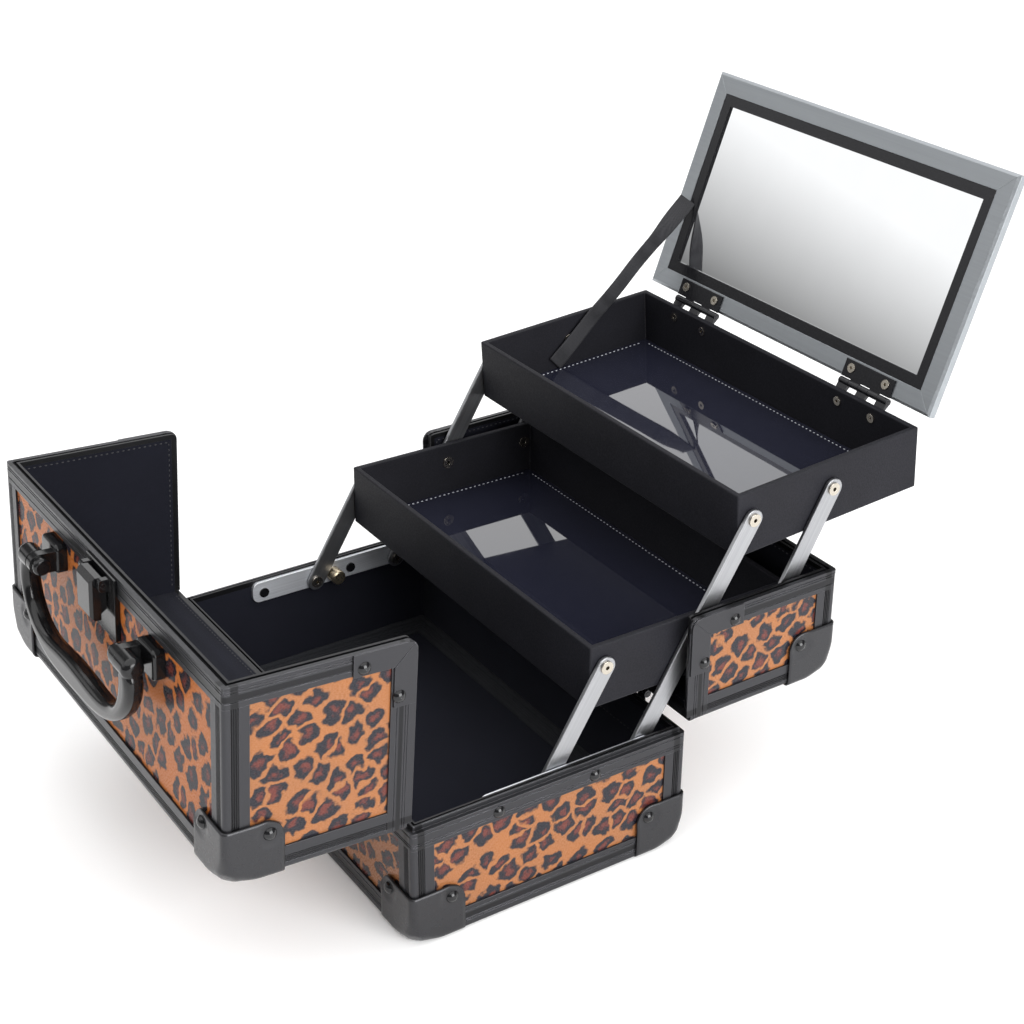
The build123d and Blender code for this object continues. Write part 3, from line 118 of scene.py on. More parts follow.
class Nodes:
    """A node tree whose nodes are made by calls; sockets are passed from one call to the next."""

    def __init__(self, tree):
        self.tree = tree

    def put(self, socket, value):
        if isinstance(value, bpy.types.NodeSocket):
            self.tree.links.new(value, socket)
        elif isinstance(value, (tuple, list)) and len(value) == 3 and socket.type == "RGBA":
            socket.default_value = (*value, 1)
        else:
            socket.default_value = value

    def node(self, kind, inputs=(), **settings):
        n = self.tree.nodes.new(kind)
        for key, value in settings.items():
            setattr(n, key, value)
        for key, value in dict(inputs).items():
            self.put(n.inputs[key], value)
        return n

    def place(self):
        """Where a point is on the object at rest, in millimetres."""
        at = self.node("ShaderNodeTexCoord").outputs["Object"]
        return self.vector("SCALE", at, scale=1000.0)

    def vector(self, operation, a, b=None, scale=None):
        n = self.node("ShaderNodeVectorMath", operation=operation)
        self.put(n.inputs[0], a)
        if b is not None:
            self.put(n.inputs[1], b)
        if scale is not None:
            self.put(n.inputs["Scale"], scale)
        return n.outputs["Value"] if operation in ("DOT_PRODUCT", "LENGTH") else n.outputs["Vector"]

    def math(self, operation, a, b=None, c=None, clamp=False):
        n = self.node("ShaderNodeMath", operation=operation, use_clamp=clamp)
        for i, value in enumerate((a, b, c)):
            if value is not None:
                self.put(n.inputs[i], value)
        return n.outputs[0]

    def ramp(self, value, low, high, to_low=0.0, to_high=1.0, smooth=True):
        kind = "SMOOTHSTEP" if smooth else "LINEAR"
        inputs = {"Value": value, "From Min": low, "From Max": high, "To Min": to_low, "To Max": to_high}
        return self.node("ShaderNodeMapRange", inputs, interpolation_type=kind).outputs["Result"]

    def mix(self, factor, a, b):
        n = self.node("ShaderNodeMix", data_type="RGBA")
        self.put(n.inputs["Factor"], factor)
        self.put([s for s in n.inputs if s.name == "A" and s.type == "RGBA"][0], a)
        self.put([s for s in n.inputs if s.name == "B" and s.type == "RGBA"][0], b)
        return [s for s in n.outputs if s.type == "RGBA"][0]

    def noise(self, at, scale, detail=2.0, roughness=0.5, dims="3D"):
        inputs = {"Vector": at, "Scale": scale, "Detail": detail, "Roughness": roughness}
        return self.node("ShaderNodeTexNoise", inputs, noise_dimensions=dims).outputs["Fac"]

    def stretch(self, at, sizes):
        """Divide each axis by a size, so that a noise of scale 1 has blobs of that size."""
        return self.vector("MULTIPLY", at, tuple(1.0 / s for s in sizes))

    def flat(self, frame_matrix, across, up):
        """Flat coordinates in millimetres on a board: two axes of the frame the board was drawn in."""
        at = self.place()
        turned = frame_matrix.to_3x3()
        axes = [turned @ Vector(axis) for axis in (across, up)]
        u, v = (self.vector("DOT_PRODUCT", at, tuple(axis)) for axis in axes)
        return self.node("ShaderNodeCombineXYZ", {"X": u, "Y": v}).outputs[0]

    def bump(self, height, distance_mm, strength=1.0, normal=None):
        inputs = {"Height": height, "Distance": distance_mm * MM, "Strength": strength}
        n = self.node("ShaderNodeBump", inputs)
        if normal is not None:
            self.put(n.inputs["Normal"], normal)
        return n.outputs[0]

    def soft_edges(self, radius_mm=0.35):
        """Normals rounded over the solid's edges, and how near an edge each point is."""
        soft = self.node("ShaderNodeBevel", {"Radius": radius_mm * MM}, samples=4).outputs[0]
        hard = self.node("ShaderNodeNewGeometry").outputs["Normal"]
        facing = self.vector("DOT_PRODUCT", soft, hard)
        return soft, self.ramp(facing, 0.995, 0.8)


class Shader(Nodes):
    """A material with one Principled shader."""

    def __init__(self, name):
        self.material = bpy.data.materials.new(name)
        self.material.use_nodes = True
        super().__init__(self.material.node_tree)
        self.bsdf = self.tree.nodes["Principled BSDF"]

    def set(self, **inputs):
        for key, value in inputs.items():
            self.put(self.bsdf.inputs[key.replace("_", " ").title().replace("Ior", "IOR")], value)


# ---------------------------------------------------------------- materials


CELL = (12.6, 9.4)  # millimetres from rosette to rosette, along its lean and across it
# in cells: half the width of the ground between rosettes, a rosette's reach, how softly the two meet,
# how ragged its outline is and how deep the bites out of it are
GROUND_HALF_W, REACH, BLEND, RAGGED, BITES = 0.105, 0.43, 0.16, 0.09, 0.17
HEART_REACH, HEART_RAGGED = 0.13, 0.30
WANDER = 6.5  # millimetres that the rows of rosettes wander


def leopard(name, frame_matrix, across, up, lean, seed, cell=CELL, warm=0.0, gloss=1.0):
    """Printed film under gloss: a tan ground netted between dark rosettes with soft red-brown hearts.

    warm is how far the ground turns to orange, and gloss how shiny the film is."""
    s = Shader(name)
    flat = s.flat(frame_matrix, across, up)
    flat = s.vector("ADD", flat, (seed * 37.0, seed * 19.0, 0))
    slow = {"Vector": flat, "Scale": 0.13, "Detail": 1.5}
    wobble = s.node("ShaderNodeTexNoise", slow, noise_dimensions="2D")
    shift = s.vector("SUBTRACT", wobble.outputs["Color"], (0.5, 0.5, 0.5))
    at = s.vector("ADD", flat, s.vector("SCALE", shift, scale=WANDER))
    turn_by = {"Vector": at, "Angle": math.radians(-lean)}
    leaned = s.node("ShaderNodeVectorRotate", turn_by, rotation_type="Z_AXIS")
    cells = s.vector("MULTIPLY", leaned.outputs[0], (1 / cell[0], 1 / cell[1], 1))
    settings = {"Vector": cells, "Scale": 1.0, "Randomness": 0.72}
    spots = s.node("ShaderNodeTexVoronoi", settings, voronoi_dimensions="2D")
    net = s.node("ShaderNodeTexVoronoi", settings, voronoi_dimensions="2D", feature="DISTANCE_TO_EDGE")
    which = s.node("ShaderNodeSeparateColor", {"Color": spots.outputs["Color"]}).outputs
    ragged = s.noise(flat, 0.6, 1.5, 0.5, "2D")
    bites = s.noise(s.vector("ADD", flat, (91.0, 13.0, 0)), 0.27, 1.0, 0.5, "2D")
    distance = spots.outputs["Distance"]
    # how far inside a rosette: away from the net and within the rosette's reach, with bites out of it
    reach = s.math("MULTIPLY_ADD", which[0], 0.10, REACH)
    rounding = s.math("MULTIPLY", s.math("SUBTRACT", reach, distance), 0.9)
    off_net = s.math("SUBTRACT", net.outputs["Distance"], GROUND_HALF_W)
    inside = s.math("SMOOTH_MIN", off_net, rounding, BLEND)
    inside = s.math("MULTIPLY_ADD", s.math("SUBTRACT", ragged, 0.5), RAGGED, inside)
    inside = s.math("MULTIPLY_ADD", s.math("SUBTRACT", bites, 0.5), BITES, inside)
    dark = s.ramp(inside, -0.065, 0.05)
    core = s.math("MULTIPLY_ADD", which[1], 0.12, HEART_REACH)
    core = s.math("MULTIPLY_ADD", s.math("SUBTRACT", ragged, 0.5), HEART_RAGGED, core)
    heart = s.ramp(s.math("SUBTRACT", core, distance), -0.10, 0.16)
    grain = s.noise(s.stretch(flat, (0.35, 1.1, 1.0)), 1.0, 3.0, 0.65, "2D")
    cloud = s.noise(flat, 0.05, 2.0, 0.5, "2D")
    ground = s.mix(grain, (0.225, 0.080, 0.026), (0.345, 0.148, 0.062))
    ground = s.mix(s.ramp(cloud, 0.3, 0.7, 0.0, 0.35), ground, (0.36, 0.125, 0.032))
    if warm:
        ground = s.mix(warm, ground, (0.62, 0.150, 0.012))
    ring = s.mix(grain, (0.006, 0.0065, 0.010), (0.020, 0.019, 0.027))
    spot = s.mix(s.math("MULTIPLY", heart, 0.85), ring, (0.135, 0.030, 0.021))
    s.set(base_color=s.mix(dark, ground, spot), roughness=s.ramp(grain, 0.3, 0.7, 0.24, 0.32))
    s.set(specular_ior_level=0.25 * gloss, coat_weight=0.12 * gloss, coat_roughness=0.08)
    ripple = s.noise(s.place(), 0.05, 2.0)
    s.set(normal=s.bump(ripple, 1.2, 0.12))
    return s.material


def band(s, value, centre, half_width):
    """1 within a band about a distance from the middle, 0 outside it."""
    off = s.math("ABSOLUTE", s.math("SUBTRACT", value, centre))
    return s.ramp(off, half_width + 0.25, half_width - 0.15)


def extrusion(name, place=None, bands=(), colour=(0.040, 0.040, 0.044), roughness=0.33, bright=4.5):
    """Satin anodised aluminium, rubbed brighter on its edges, with ribbed bands let into it whose grooves are
    darkened by painted shade.

    bands are (axis, origin, distance, half width) in the millimetres of the frame it was drawn in. A band
    lies at its distance along the axis on both sides of its origin."""
    s = Shader(name)
    at = s.place()
    soft, edge = s.soft_edges(0.22)
    cloud = s.noise(at, 0.035, 3.0)
    fine = s.noise(at, 0.9, 2.0)
    worn = s.math("MULTIPLY", edge, s.ramp(cloud, 0.3, 0.65, 0.45, 1.0))
    base = s.mix(worn, colour, tuple(min(1, c * bright) for c in colour))
    groove_shade = None
    for axis, origin, distance, half_width in bands:
        turned = place.to_3x3() @ Vector(axis)
        start = place.translation.dot(turned) / MM + origin
        along = s.vector("DOT_PRODUCT", at, tuple(turned))
        here = band(s, s.math("ABSOLUTE", s.math("SUBTRACT", along, start)), distance, half_width)
        groove_shade = here if groove_shade is None else s.math("MAXIMUM", groove_shade, here)
    # painted shade: the ribbed bands are darkened to stand for the shade in their grooves
    if groove_shade is not None:
        base = s.mix(s.math("MULTIPLY", groove_shade, 0.75), base, tuple(c * 0.22 for c in colour))
    s.set(
        base_color=base,
        metallic=0.7,
        roughness=s.ramp(fine, 0.2, 0.8, roughness - 0.04, roughness + 0.06),
        normal=s.bump(cloud, 0.1, 0.1, soft),
    )
    return s.material


def cloth(name, colour, other, thread_mm, roughness=0.85, depth=0.08, specular=0.2):
    """Fine woven cloth: crossing threads from three waves, and slow changes of tone."""
    s = Shader(name)
    at = s.place()
    soft, _ = s.soft_edges(0.5)
    waves = []
    for axis in ((1, 0, 0), (0, 1, 0), (0, 0, 1)):
        along = s.vector("DOT_PRODUCT", at, axis)
        waves.append(s.math("SINE", s.math("MULTIPLY", along, 2 * math.pi / thread_mm)))
    weave = s.math("ADD", s.math("ADD", waves[0], waves[1]), waves[2])
    fuzz = s.noise(at, 1.1, 4.0, 0.7)
    weave = s.math("MULTIPLY_ADD", fuzz, 2.0, weave)
    tone = s.noise(at, 0.03, 3.0)
    tone = s.math("MULTIPLY_ADD", s.ramp(weave, -1.5, 3.0), 0.5, s.math("MULTIPLY", tone, 0.5))
    s.set(base_color=s.mix(tone, colour, other), roughness=roughness, normal=s.bump(weave, depth, 0.5, soft))
    s.set(specular_ior_level=specular, sheen_weight=0.04, sheen_roughness=0.4)
    return s.material


def leathercloth(name, colour, other, rubbed_to=(0.10, 0.10, 0.105)):
    """Pressed leather cloth: small pebbles with painted shade darkening the creases, rubbed grey along its
    edges.
    """
    s = Shader(name)
    at = s.place()
    soft, edge = s.soft_edges(0.8)
    cells = {"Vector": at, "Scale": 1.25, "Randomness": 1.0}
    pebbles = s.node("ShaderNodeTexVoronoi", cells, feature="SMOOTH_F1")
    fine = s.noise(at, 2.2, 3.0, 0.6)
    height = s.math("MULTIPLY_ADD", fine, 0.5, pebbles.outputs["Distance"])
    # tone: a slow random change plus painted shade, darker where the pebbled height is low, in the creases
    tone = s.math("MULTIPLY_ADD", s.noise(at, 0.04, 2.0), 0.6, s.math("MULTIPLY", height, 0.4))
    rubbed = s.mix(s.math("MULTIPLY", edge, 0.6), s.mix(tone, colour, other), rubbed_to)
    s.set(base_color=rubbed, roughness=s.ramp(height, 0.2, 1.0, 0.68, 0.56))
    s.set(normal=s.bump(height, 0.12, 0.35, soft), specular_ior_level=0.14)
    return s.material


def brushed(name, colour, frame_axis, roughness=0.3, lines_mm=0.35, contrast=0.8):
    """Drawn metal: long fine lines along one direction, and bright rubbed edges."""
    s = Shader(name)
    at = s.place()
    axis = Vector(frame_axis).normalized()
    along = s.vector("DOT_PRODUCT", at, tuple(axis))
    drop = s.vector("SCALE", tuple(axis), scale=along)
    across = s.vector("SUBTRACT", at, drop)
    fine_across = s.vector("SCALE", across, scale=1 / lines_mm)
    line_at = s.vector("ADD", fine_across, s.vector("SCALE", drop, scale=0.012))
    lines = s.noise(line_at, 1.0, 3.0, 0.6)
    soft, edge = s.soft_edges(0.35)
    tint = tuple(c * contrast for c in colour)
    drawn = s.mix(s.ramp(lines, 0.25, 0.75), tint, colour)
    s.set(
        base_color=s.mix(edge, drawn, tuple(min(0.95, c * 1.3) for c in colour)),
        metallic=1.0,
        roughness=s.ramp(lines, 0.2, 0.8, roughness - 0.05, roughness + 0.08),
        normal=s.bump(lines, 0.02, 0.25, soft),
    )
    return s.material


def enamel(name, colour, roughness=0.2, metallic=0.0, radius_mm=0.3, coat=0.0, specular=0.5):
    """Moulded gloss plastic or a gloss coating: faint flow marks and fine scratches."""
    s = Shader(name)
    at = s.place()
    soft, edge = s.soft_edges(radius_mm)
    flow = s.noise(at, 0.06, 3.0)
    fine = s.noise(at, 0.9, 4.0, 0.65)
    worn = s.math("MULTIPLY_ADD", edge, 0.4, s.math("MULTIPLY", flow, 0.3))
    s.set(
        base_color=s.mix(worn, colour, tuple(c * 2.2 + 0.004 for c in colour)),
        metallic=metallic,
        roughness=s.ramp(fine, 0.3, 0.8, roughness, roughness + 0.1),
        normal=s.bump(flow, 0.4, 0.05, soft),
    )
    s.set(coat_weight=coat, coat_roughness=0.05, specular_ior_level=specular)
    return s.material


def thread(name, colour, other):
    """Twisted sewing thread."""
    s = Shader(name)
    strands = s.noise(s.place(), 3.0, 2.0)
    s.set(base_color=s.mix(strands, colour, other), roughness=s.ramp(strands, 0.2, 0.8, 0.55, 0.75))
    return s.material


def clear(name):
    """Clear vinyl lying on navy cloth: the cloth's colour under a smooth gloss with faint scuffs."""
    s = Shader(name)
    scuffs = s.noise(s.place(), 0.12, 4.0, 0.7)
    wave = s.noise(s.place(), 0.012, 2.0)
    s.set(base_color=s.mix(scuffs, (0.012, 0.013, 0.023), (0.019, 0.020, 0.034)))
    s.set(roughness=s.ramp(scuffs, 0.4, 0.8, 0.02, 0.06), ior=1.5, normal=s.bump(wave, 2.0, 0.06))
    s.set(coat_weight=0.8, coat_roughness=0.02)
    return s.material


def silvered(name):
    """A mirror's silvered glass, with the faintest haze."""
    s = Shader(name)
    haze = s.noise(s.place(), 0.05, 3.0)
    s.set(base_color=s.mix(haze, (0.88, 0.89, 0.90), (0.92, 0.93, 0.94)), metallic=1.0)
    s.set(roughness=s.ramp(haze, 0.3, 0.8, 0.005, 0.02))
    return s.material


def cover(material, *names):
    """Give CAD nodes a material."""
    for name in names:
        obj = nodes[name]
        obj.data.materials.clear()
        obj.data.materials.append(material)


def leaning_back(degrees):
    return (0, math.cos(math.radians(degrees)), math.sin(math.radians(degrees)))


# (frame the board was drawn in, its two axes, lean of the rosettes in degrees, anything else)
prints = {
    "base_long_panels": (BASE, X, Z, 25, {}),
    "base_side_panels": (BASE, Y, Z, 25, {}),
    "front_lid_top_panel": (FRONT_LID, X, Y, 68, {"cell": (15.0, 10.8), "warm": 0.35, "gloss": 0.3}),
    "front_lid_front_panel": (FRONT_LID, X, Z, 30, {}),
    "front_lid_side_panels": (FRONT_LID, Y, Z, -48, {}),
    "rear_lid_top_panel": (REAR_LID, X, Y, 30, {}),
    "rear_lid_rear_panel": (REAR_LID, X, Z, 30, {}),
    "rear_lid_side_panels": (REAR_LID, Y, Z, -52, {}),
}
for i, (name, (place, across, up, lean, more)) in enumerate(prints.items()):
    cover(leopard(f"print_{name}", place, across, up, lean, i + 1, **more), name)
cover(enamel("floor_board", (0.02, 0.02, 0.021), 0.5), "base_floor_panel")

# the bands below are where the rails are darkened with painted shade for their ribbed grooves
EDGE_IN, EDGE_BAND = 5.0, 1.7  # middle of a post's ribbed band from its outer edge, and its half width
BOTTOM_BAND_Z, BOTTOM_BAND = 6.9, 1.3
SPLIT_IN, SPLIT_BAND = 5.4, 1.3
HINGE_RIM_Z, HINGE_RIM_BAND = 4.9, 1.0
base_rail = extrusion(
    "base_rail",
    BASE,
    [
        (X, 0, HALF_W - EDGE_IN, EDGE_BAND),
        (Y, 0, HALF_D - EDGE_IN, EDGE_BAND),
        (Z, 0, BOTTOM_BAND_Z, BOTTOM_BAND),
    ],
)


def lid_rail(name, place, sign, split):
    """The rails of a lid; sign is -1 for the rear lid, whose drawing is mirrored."""
    return extrusion(
        name,
        place,
        [
            (X, 0, HALF_W - EDGE_IN, EDGE_BAND),
            (Y, sign * (HINGE_GAP + EDGE_IN), 0, EDGE_BAND),
            (Z, LID_H - EDGE_IN, 0, EDGE_BAND),
            (Y, sign * (split - SPLIT_IN), 0, SPLIT_BAND),
            (Z, HINGE_RIM_Z, 0, HINGE_RIM_BAND),
        ],
    )


front_rail = lid_rail("front_lid_rail", FRONT_LID, 1, FRONT_SPLIT)
rear_rail = lid_rail("rear_lid_rail", REAR_LID, -1, REAR_SPLIT)
dark_plate = extrusion("dark_plate")
dark_cap = extrusion("dark_cap", colour=(0.040, 0.040, 0.043), roughness=0.30, bright=3.0)
black_gloss = enamel("black_gloss", (0.004, 0.004, 0.0045), 0.12, radius_mm=0.4, specular=0.42)
black_metal = enamel("black_metal", (0.009, 0.009, 0.011), 0.16, metallic=0.3)
rivet_black = enamel("rivet_black", (0.006, 0.006, 0.007), 0.12, metallic=0.3, radius_mm=0.2, coat=0.2)
nickel = enamel("nickel", (0.42, 0.385, 0.33), 0.2, metallic=1.0, radius_mm=0.2)
brass = enamel("brass", (0.52, 0.44, 0.31), 0.26, metallic=1.0, radius_mm=0.2)
lining = cloth("lining", (0.0045, 0.0048, 0.009), (0.011, 0.012, 0.021), 0.55)
lining_edge = cloth("lining_edge", (0.010, 0.011, 0.013), (0.030, 0.031, 0.036), 0.8, depth=0.15)
board_cloth = leathercloth("board_cloth", (0.006, 0.006, 0.0075), (0.016, 0.016, 0.021))
ribbon = cloth("ribbon", (0.012, 0.012, 0.014), (0.055, 0.055, 0.060), 0.8, roughness=0.6)
stitching = thread("stitching", (0.30, 0.31, 0.34), (0.55, 0.56, 0.60))
dull_stitching = thread("dull_stitching", (0.018, 0.018, 0.022), (0.045, 0.045, 0.05))
arm_metal = brushed("arm_metal", (0.40, 0.405, 0.42), leaning_back(ARM_REST), 0.36)
rear_arm_metal = brushed("rear_arm_metal", (0.38, 0.385, 0.40), leaning_back(REAR_ARM_REST), 0.36)
bracket_metal = brushed("bracket_metal", (0.86, 0.88, 0.92), Y, 0.55)
rail_silver = brushed("rail_silver", (0.36, 0.38, 0.40), X, 0.42, lines_mm=0.9, contrast=0.9)
glass = silvered("silvered_glass")
sheet_clear = clear("clear_sheet")

cover(base_rail, "base_top_rim", "base_bottom_rail", "base_corner_posts")
cover(front_rail, "front_lid_frame")
cover(rear_rail, "rear_lid_frame")
cover(dark_plate, "front_lid_mitre_brackets", "rear_lid_mitre_brackets")
cover(rivet_black, "base_rivets", "front_lid_rivets", "rear_lid_rivets")
cover(black_metal, "hinge_base_leaves", "hinge_pins", "front_lid_hinge_leaves", "rear_lid_hinge_leaves")
cover(black_metal, "mirror_hinge_tray_leaves", "mirror_hinge_leaves", "mirror_hinge_pins")
cover(lining, "base_lining", "front_lid_lining", "rear_lid_lining")
cover(board_cloth, "lower_tray_box", "upper_tray_box")
cover(sheet_clear, "lower_tray_floor_sheet", "upper_tray_floor_sheet")
cover(arm_metal, "long_arm_left", "long_arm_right", "front_arm_left", "front_arm_right")
cover(rear_arm_metal, "rear_arm_left", "rear_arm_right")
cover(bracket_metal, "arm_brackets")
cover(brass, "arm_stop_studs")
cover(nickel, "arm_pivot_rivets", "lower_tray_rivets", "upper_tray_rivets", "mirror_rivets")
cover(black_gloss, "handle_grip", "handle_mounts", "handle_and_latch_pins")
cover(black_gloss, "latch_base", "latch_lever", "latch_keeper")
cover(rail_silver, "mirror_frame")
cover(black_metal, "mirror_border", "mirror_backing")
cover(glass, "mirror_glass")

# ---------------------------------------------------------------- pieces built here


def mesh_object(name, bm):
    """Make an object of a finished BMesh and free it."""
    mesh = bpy.data.meshes.new(name)
    bm.to_mesh(mesh)
    bm.free()
    obj = bpy.data.objects.new(name, mesh)
    bpy.context.scene.collection.objects.link(obj)
    return obj


def finished(obj, material, body, slot, *stands_for, smooth=True):
    """Give a piece its finish and the body it rides on."""
    obj.data.materials.append(material)
    for face in obj.data.polygons:
        face.use_smooth = smooth
    if stands_for:
        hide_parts(*stands_for)
    if body:
        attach(obj, body)
    return obj


def smoothstep(low, high, value):
    t = min(1.0, max(0.0, (value - low) / (high - low)))
    return t * t * (3 - 2 * t)


# Corner caps: pressed from sheet, with a ball-shaped point, rounded edges and a dish about each rivet

CAP, CAP_T, CAP_STEPS = 28.0, 1.2, 22
CAP_EDGE_R, CAP_POINT_R, CAP_EAR_R = 3.0, 8.2, 9.0
CAP_RIVET, DISH_R, DISH_FLAT_R, DISH_DEPTH = 21.5, 6.9, 4.9, 0.6


def eared(a, b):
    """Draw the far corner of a square of points in to a quarter circle."""
    start = CAP - CAP_EAR_R
    p, q = max(0.0, a - start) / CAP_EAR_R, max(0.0, b - start) / CAP_EAR_R
    if p == 0 or q == 0:
        return a, b
    return start + CAP_EAR_R * p * math.sqrt(1 - q * q / 2), start + CAP_EAR_R * q * math.sqrt(1 - p * p / 2)


def rounded(point):
    """Move a point of a sharp cube corner, in the octant of negative x, y and z, to the pressed shape."""
    reach = sum(abs(c) ** 6 for c in point) ** (1 / 6)
    radius = CAP_EDGE_R + (CAP_POINT_R - CAP_EDGE_R) * (1 - smoothstep(2, 18, reach))
    core = Vector(min(c, -radius) for c in point)
    return core + (Vector(point) - core).normalized() * radius


def cap_mesh(bm, corner, signs, place):
    """Add one cap's outer skin at a corner of a box drawn in a frame."""
    rows = range(CAP_STEPS + 1)
    for axis in range(3):
        grid = {}
        for i in rows:
            for j in rows:
                # steps close up towards the rounded edge
                a, b = (CAP * (k / CAP_STEPS) ** 1.25 for k in (i, j))
                a, b = eared(a, b)
                flat = [0.0, 0.0, 0.0]
                flat[(axis + 1) % 3], flat[(axis + 2) % 3] = -a, -b
                at = rounded(flat)
                dish = DISH_DEPTH * (1 - smoothstep(DISH_FLAT_R, DISH_R, math.dist((a, b), (CAP_RIVET,) * 2)))
                at[axis] -= dish
                at = Vector(corner) + Vector(c * sign for c, sign in zip(at, signs))
                grid[i, j] = bm.verts.new(place @ (at * MM))
        for i in rows[:-1]:
            for j in rows[:-1]:
                bm.faces.new((grid[i, j], grid[i + 1, j], grid[i + 1, j + 1], grid[i, j + 1]))


SKIN_CLEAR = 0.15  # a cap's skin is this much thinner than its drawing, to lie clear of the frame
WELD = 0.02


def corner_caps(name, body, corners, place):
    """The caps of one body, as one piece that stands for the CAD caps."""
    bm = bmesh.new()
    for corner, signs in corners:
        cap_mesh(bm, corner, signs, place)
    bmesh.ops.remove_doubles(bm, verts=bm.verts, dist=WELD * MM)
    bmesh.ops.recalc_face_normals(bm, faces=bm.faces)
    obj = mesh_object(f"{name}_pressed", bm)
    skin = obj.modifiers.new("sheet", "SOLIDIFY")
    skin.thickness, skin.offset = (CAP_T - SKIN_CLEAR) * MM, -1
    finished(obj, dark_cap, body, "dark_cap", name)


CAP_X, CAP_Y = HALF_W + CAP_T, HALF_D + CAP_T
BASE_CAP_CORNERS = [((sx * CAP_X, sy * CAP_Y, 0), (sx, sy, -1)) for sx in (-1, 1) for sy in (-1, 1)]
LID_CAP_NEAR, LID_CAP_TOP = HINGE_GAP - CAP_T, LID_H + CAP_T
FRONT_CAP_CORNERS = [((sx * CAP_X, LID_CAP_NEAR, LID_CAP_TOP), (sx, -1, 1)) for sx in (-1, 1)]
REAR_CAP_CORNERS = [((sx * CAP_X, -LID_CAP_NEAR, LID_CAP_TOP), (sx, 1, 1)) for sx in (-1, 1)]
# signs turn the octant of negative coordinates outwards: a cap reaches back from its corner
corner_caps("base_corner_caps", "base", BASE_CAP_CORNERS, BASE)
corner_caps("front_lid_corner_caps", "front_lid", FRONT_CAP_CORNERS, FRONT_LID)
corner_caps("rear_lid_corner_caps", "rear_lid", REAR_CAP_CORNERS, REAR_LID)

# Stitches: small rounded lengths of thread, laid in rows on a face

STITCH_L, STITCH_W, STITCH_H, STITCH_PITCH = 1.3, 0.7, 0.3, 2.9
SEAM_IN = 3.0  # from the edge to the row
BASE_SEAM_Z = 45.0


def stitch(bm, at, along, out):
    """One stitch: a six-sided bead, flattened against the cloth."""
    side = along.cross(out)
    rings = []
    for t, fat in ((-1.0, 0.35), (-0.6, 0.9), (0.0, 1.0), (0.6, 0.9), (1.0, 0.35)):
        ring = []
        for k in range(6):
            angle = 2 * math.pi * k / 6
            offset = side * (math.cos(angle) * STITCH_W / 2 * fat) + out * (math.sin(angle) * STITCH_H * fat)
            ring.append(bm.verts.new((at + along * (t * STITCH_L / 2) + offset) * MM))
        rings.append(ring)
    for a, b in zip(rings, rings[1:]):
        for k in range(6):
            bm.faces.new((a[k], a[(k + 1) % 6], b[(k + 1) % 6], b[k]))
    bm.faces.new(rings[0][::-1])
    bm.faces.new(rings[-1])


def stitch_rows(name, body, slot, place, rows, material):
    """Rows are (start, end, outward direction) in the millimetres of the frame they were drawn in."""
    bm = bmesh.new()
    turn_only = place.to_3x3()
    origin = place.translation / MM
    for start, end, out in rows:
        start, end = Vector(start), Vector(end)
        along = (end - start).normalized()
        count = int((end - start).length / STITCH_PITCH)
        for k in range(count + 1):
            at = turn_only @ start.lerp(end, (k + 0.5) / (count + 1)) + origin
            stitch(bm, at, turn_only @ along, turn_only @ Vector(out))
    bmesh.ops.recalc_face_normals(bm, faces=bm.faces)
    finished(mesh_object(name, bm), material, body, slot)


def box_rows(half_x, half_y, z, inset, out=None):
    """Four rows round the inside of a rectangle, on its walls or, given an outward direction, on a floor."""
    x, y = half_x - inset, half_y - inset
    ends = SEAM_IN
    return [
        ((-x + ends, -y, z), (x - ends, -y, z), out or (0, 1, 0)),
        ((-x + ends, y, z), (x - ends, y, z), out or (0, -1, 0)),
        ((-x, -y + ends, z), (-x, y - ends, z), out or (1, 0, 0)),
        ((x, -y + ends, z), (x, y - ends, z), out or (-1, 0, 0)),
    ]


trays = (("lower_tray", LOWER_TRAY_D, LOWER_TRAY), ("upper_tray", UPPER_TRAY_D, UPPER_TRAY))
for name, depth, place in trays:
    half_x, half_y = TRAY_W / 2 - TRAY_WALL, depth / 2 - TRAY_WALL
    floor_z = -TRAY_H / 2 + TRAY_WALL + SHEET_T
    rows = box_rows(half_x, half_y, floor_z, SEAM_IN, (0, 0, 1))
    stitch_rows(f"{name}_stitching", name, "tray_board", place, rows, stitching)


def lid_rows(sign, split):
    """Stitches round the mouth of a lid's lining; sign is -1 for the rear lid, whose drawing is mirrored."""
    near, far = sign * (HINGE_GAP + WALL), sign * (split - SEAM_IN - 1)
    low, high = SEAM_IN + 1, IN_TOP - SEAM_IN
    x = IN_X - 4  # the rows stop short of the corners
    rows = [
        ((-x, near, low), (x, near, low), (0, sign, 0)),
        ((-x, near, high), (x, near, high), (0, sign, 0)),
        ((-x, far, IN_TOP), (x, far, IN_TOP), (0, 0, -1)),
        ((-x, near + sign * 4, IN_TOP), (x, near + sign * 4, IN_TOP), (0, 0, -1)),
    ]
    for side in (-1, 1):
        rows.append(((side * IN_X, near + sign * 3, low), (side * IN_X, far, low), (-side, 0, 0)))
        rows.append(((side * IN_X, far, low), (side * IN_X, far, high), (-side, 0, 0)))
    return rows


lids = (("front_lid", FRONT_LID, 1, FRONT_SPLIT), ("rear_lid", REAR_LID, -1, REAR_SPLIT))
for name, place, sign, split in lids:
    rows = lid_rows(sign, split)
    stitch_rows(f"{name}_stitching", name, "lining_fabric", place, rows, dull_stitching)
long_walls = box_rows(IN_X, IN_Y, BASE_SEAM_Z, 0)[:2]
stitch_rows("base_stitching", "base", "lining_fabric", BASE, long_walls, dull_stitching)

# The strip that covers the foot of the main box's walls, a hollow quarter round of thick cloth

COVE_R, COVE_STEPS, COVE_POINTS = 6.5, 6, 44
COVE_CLEAR, COVE_LIFT, COVE_WAVE = 0.2, 0.15, 0.35  # off the walls, off the lining, and its unevenness


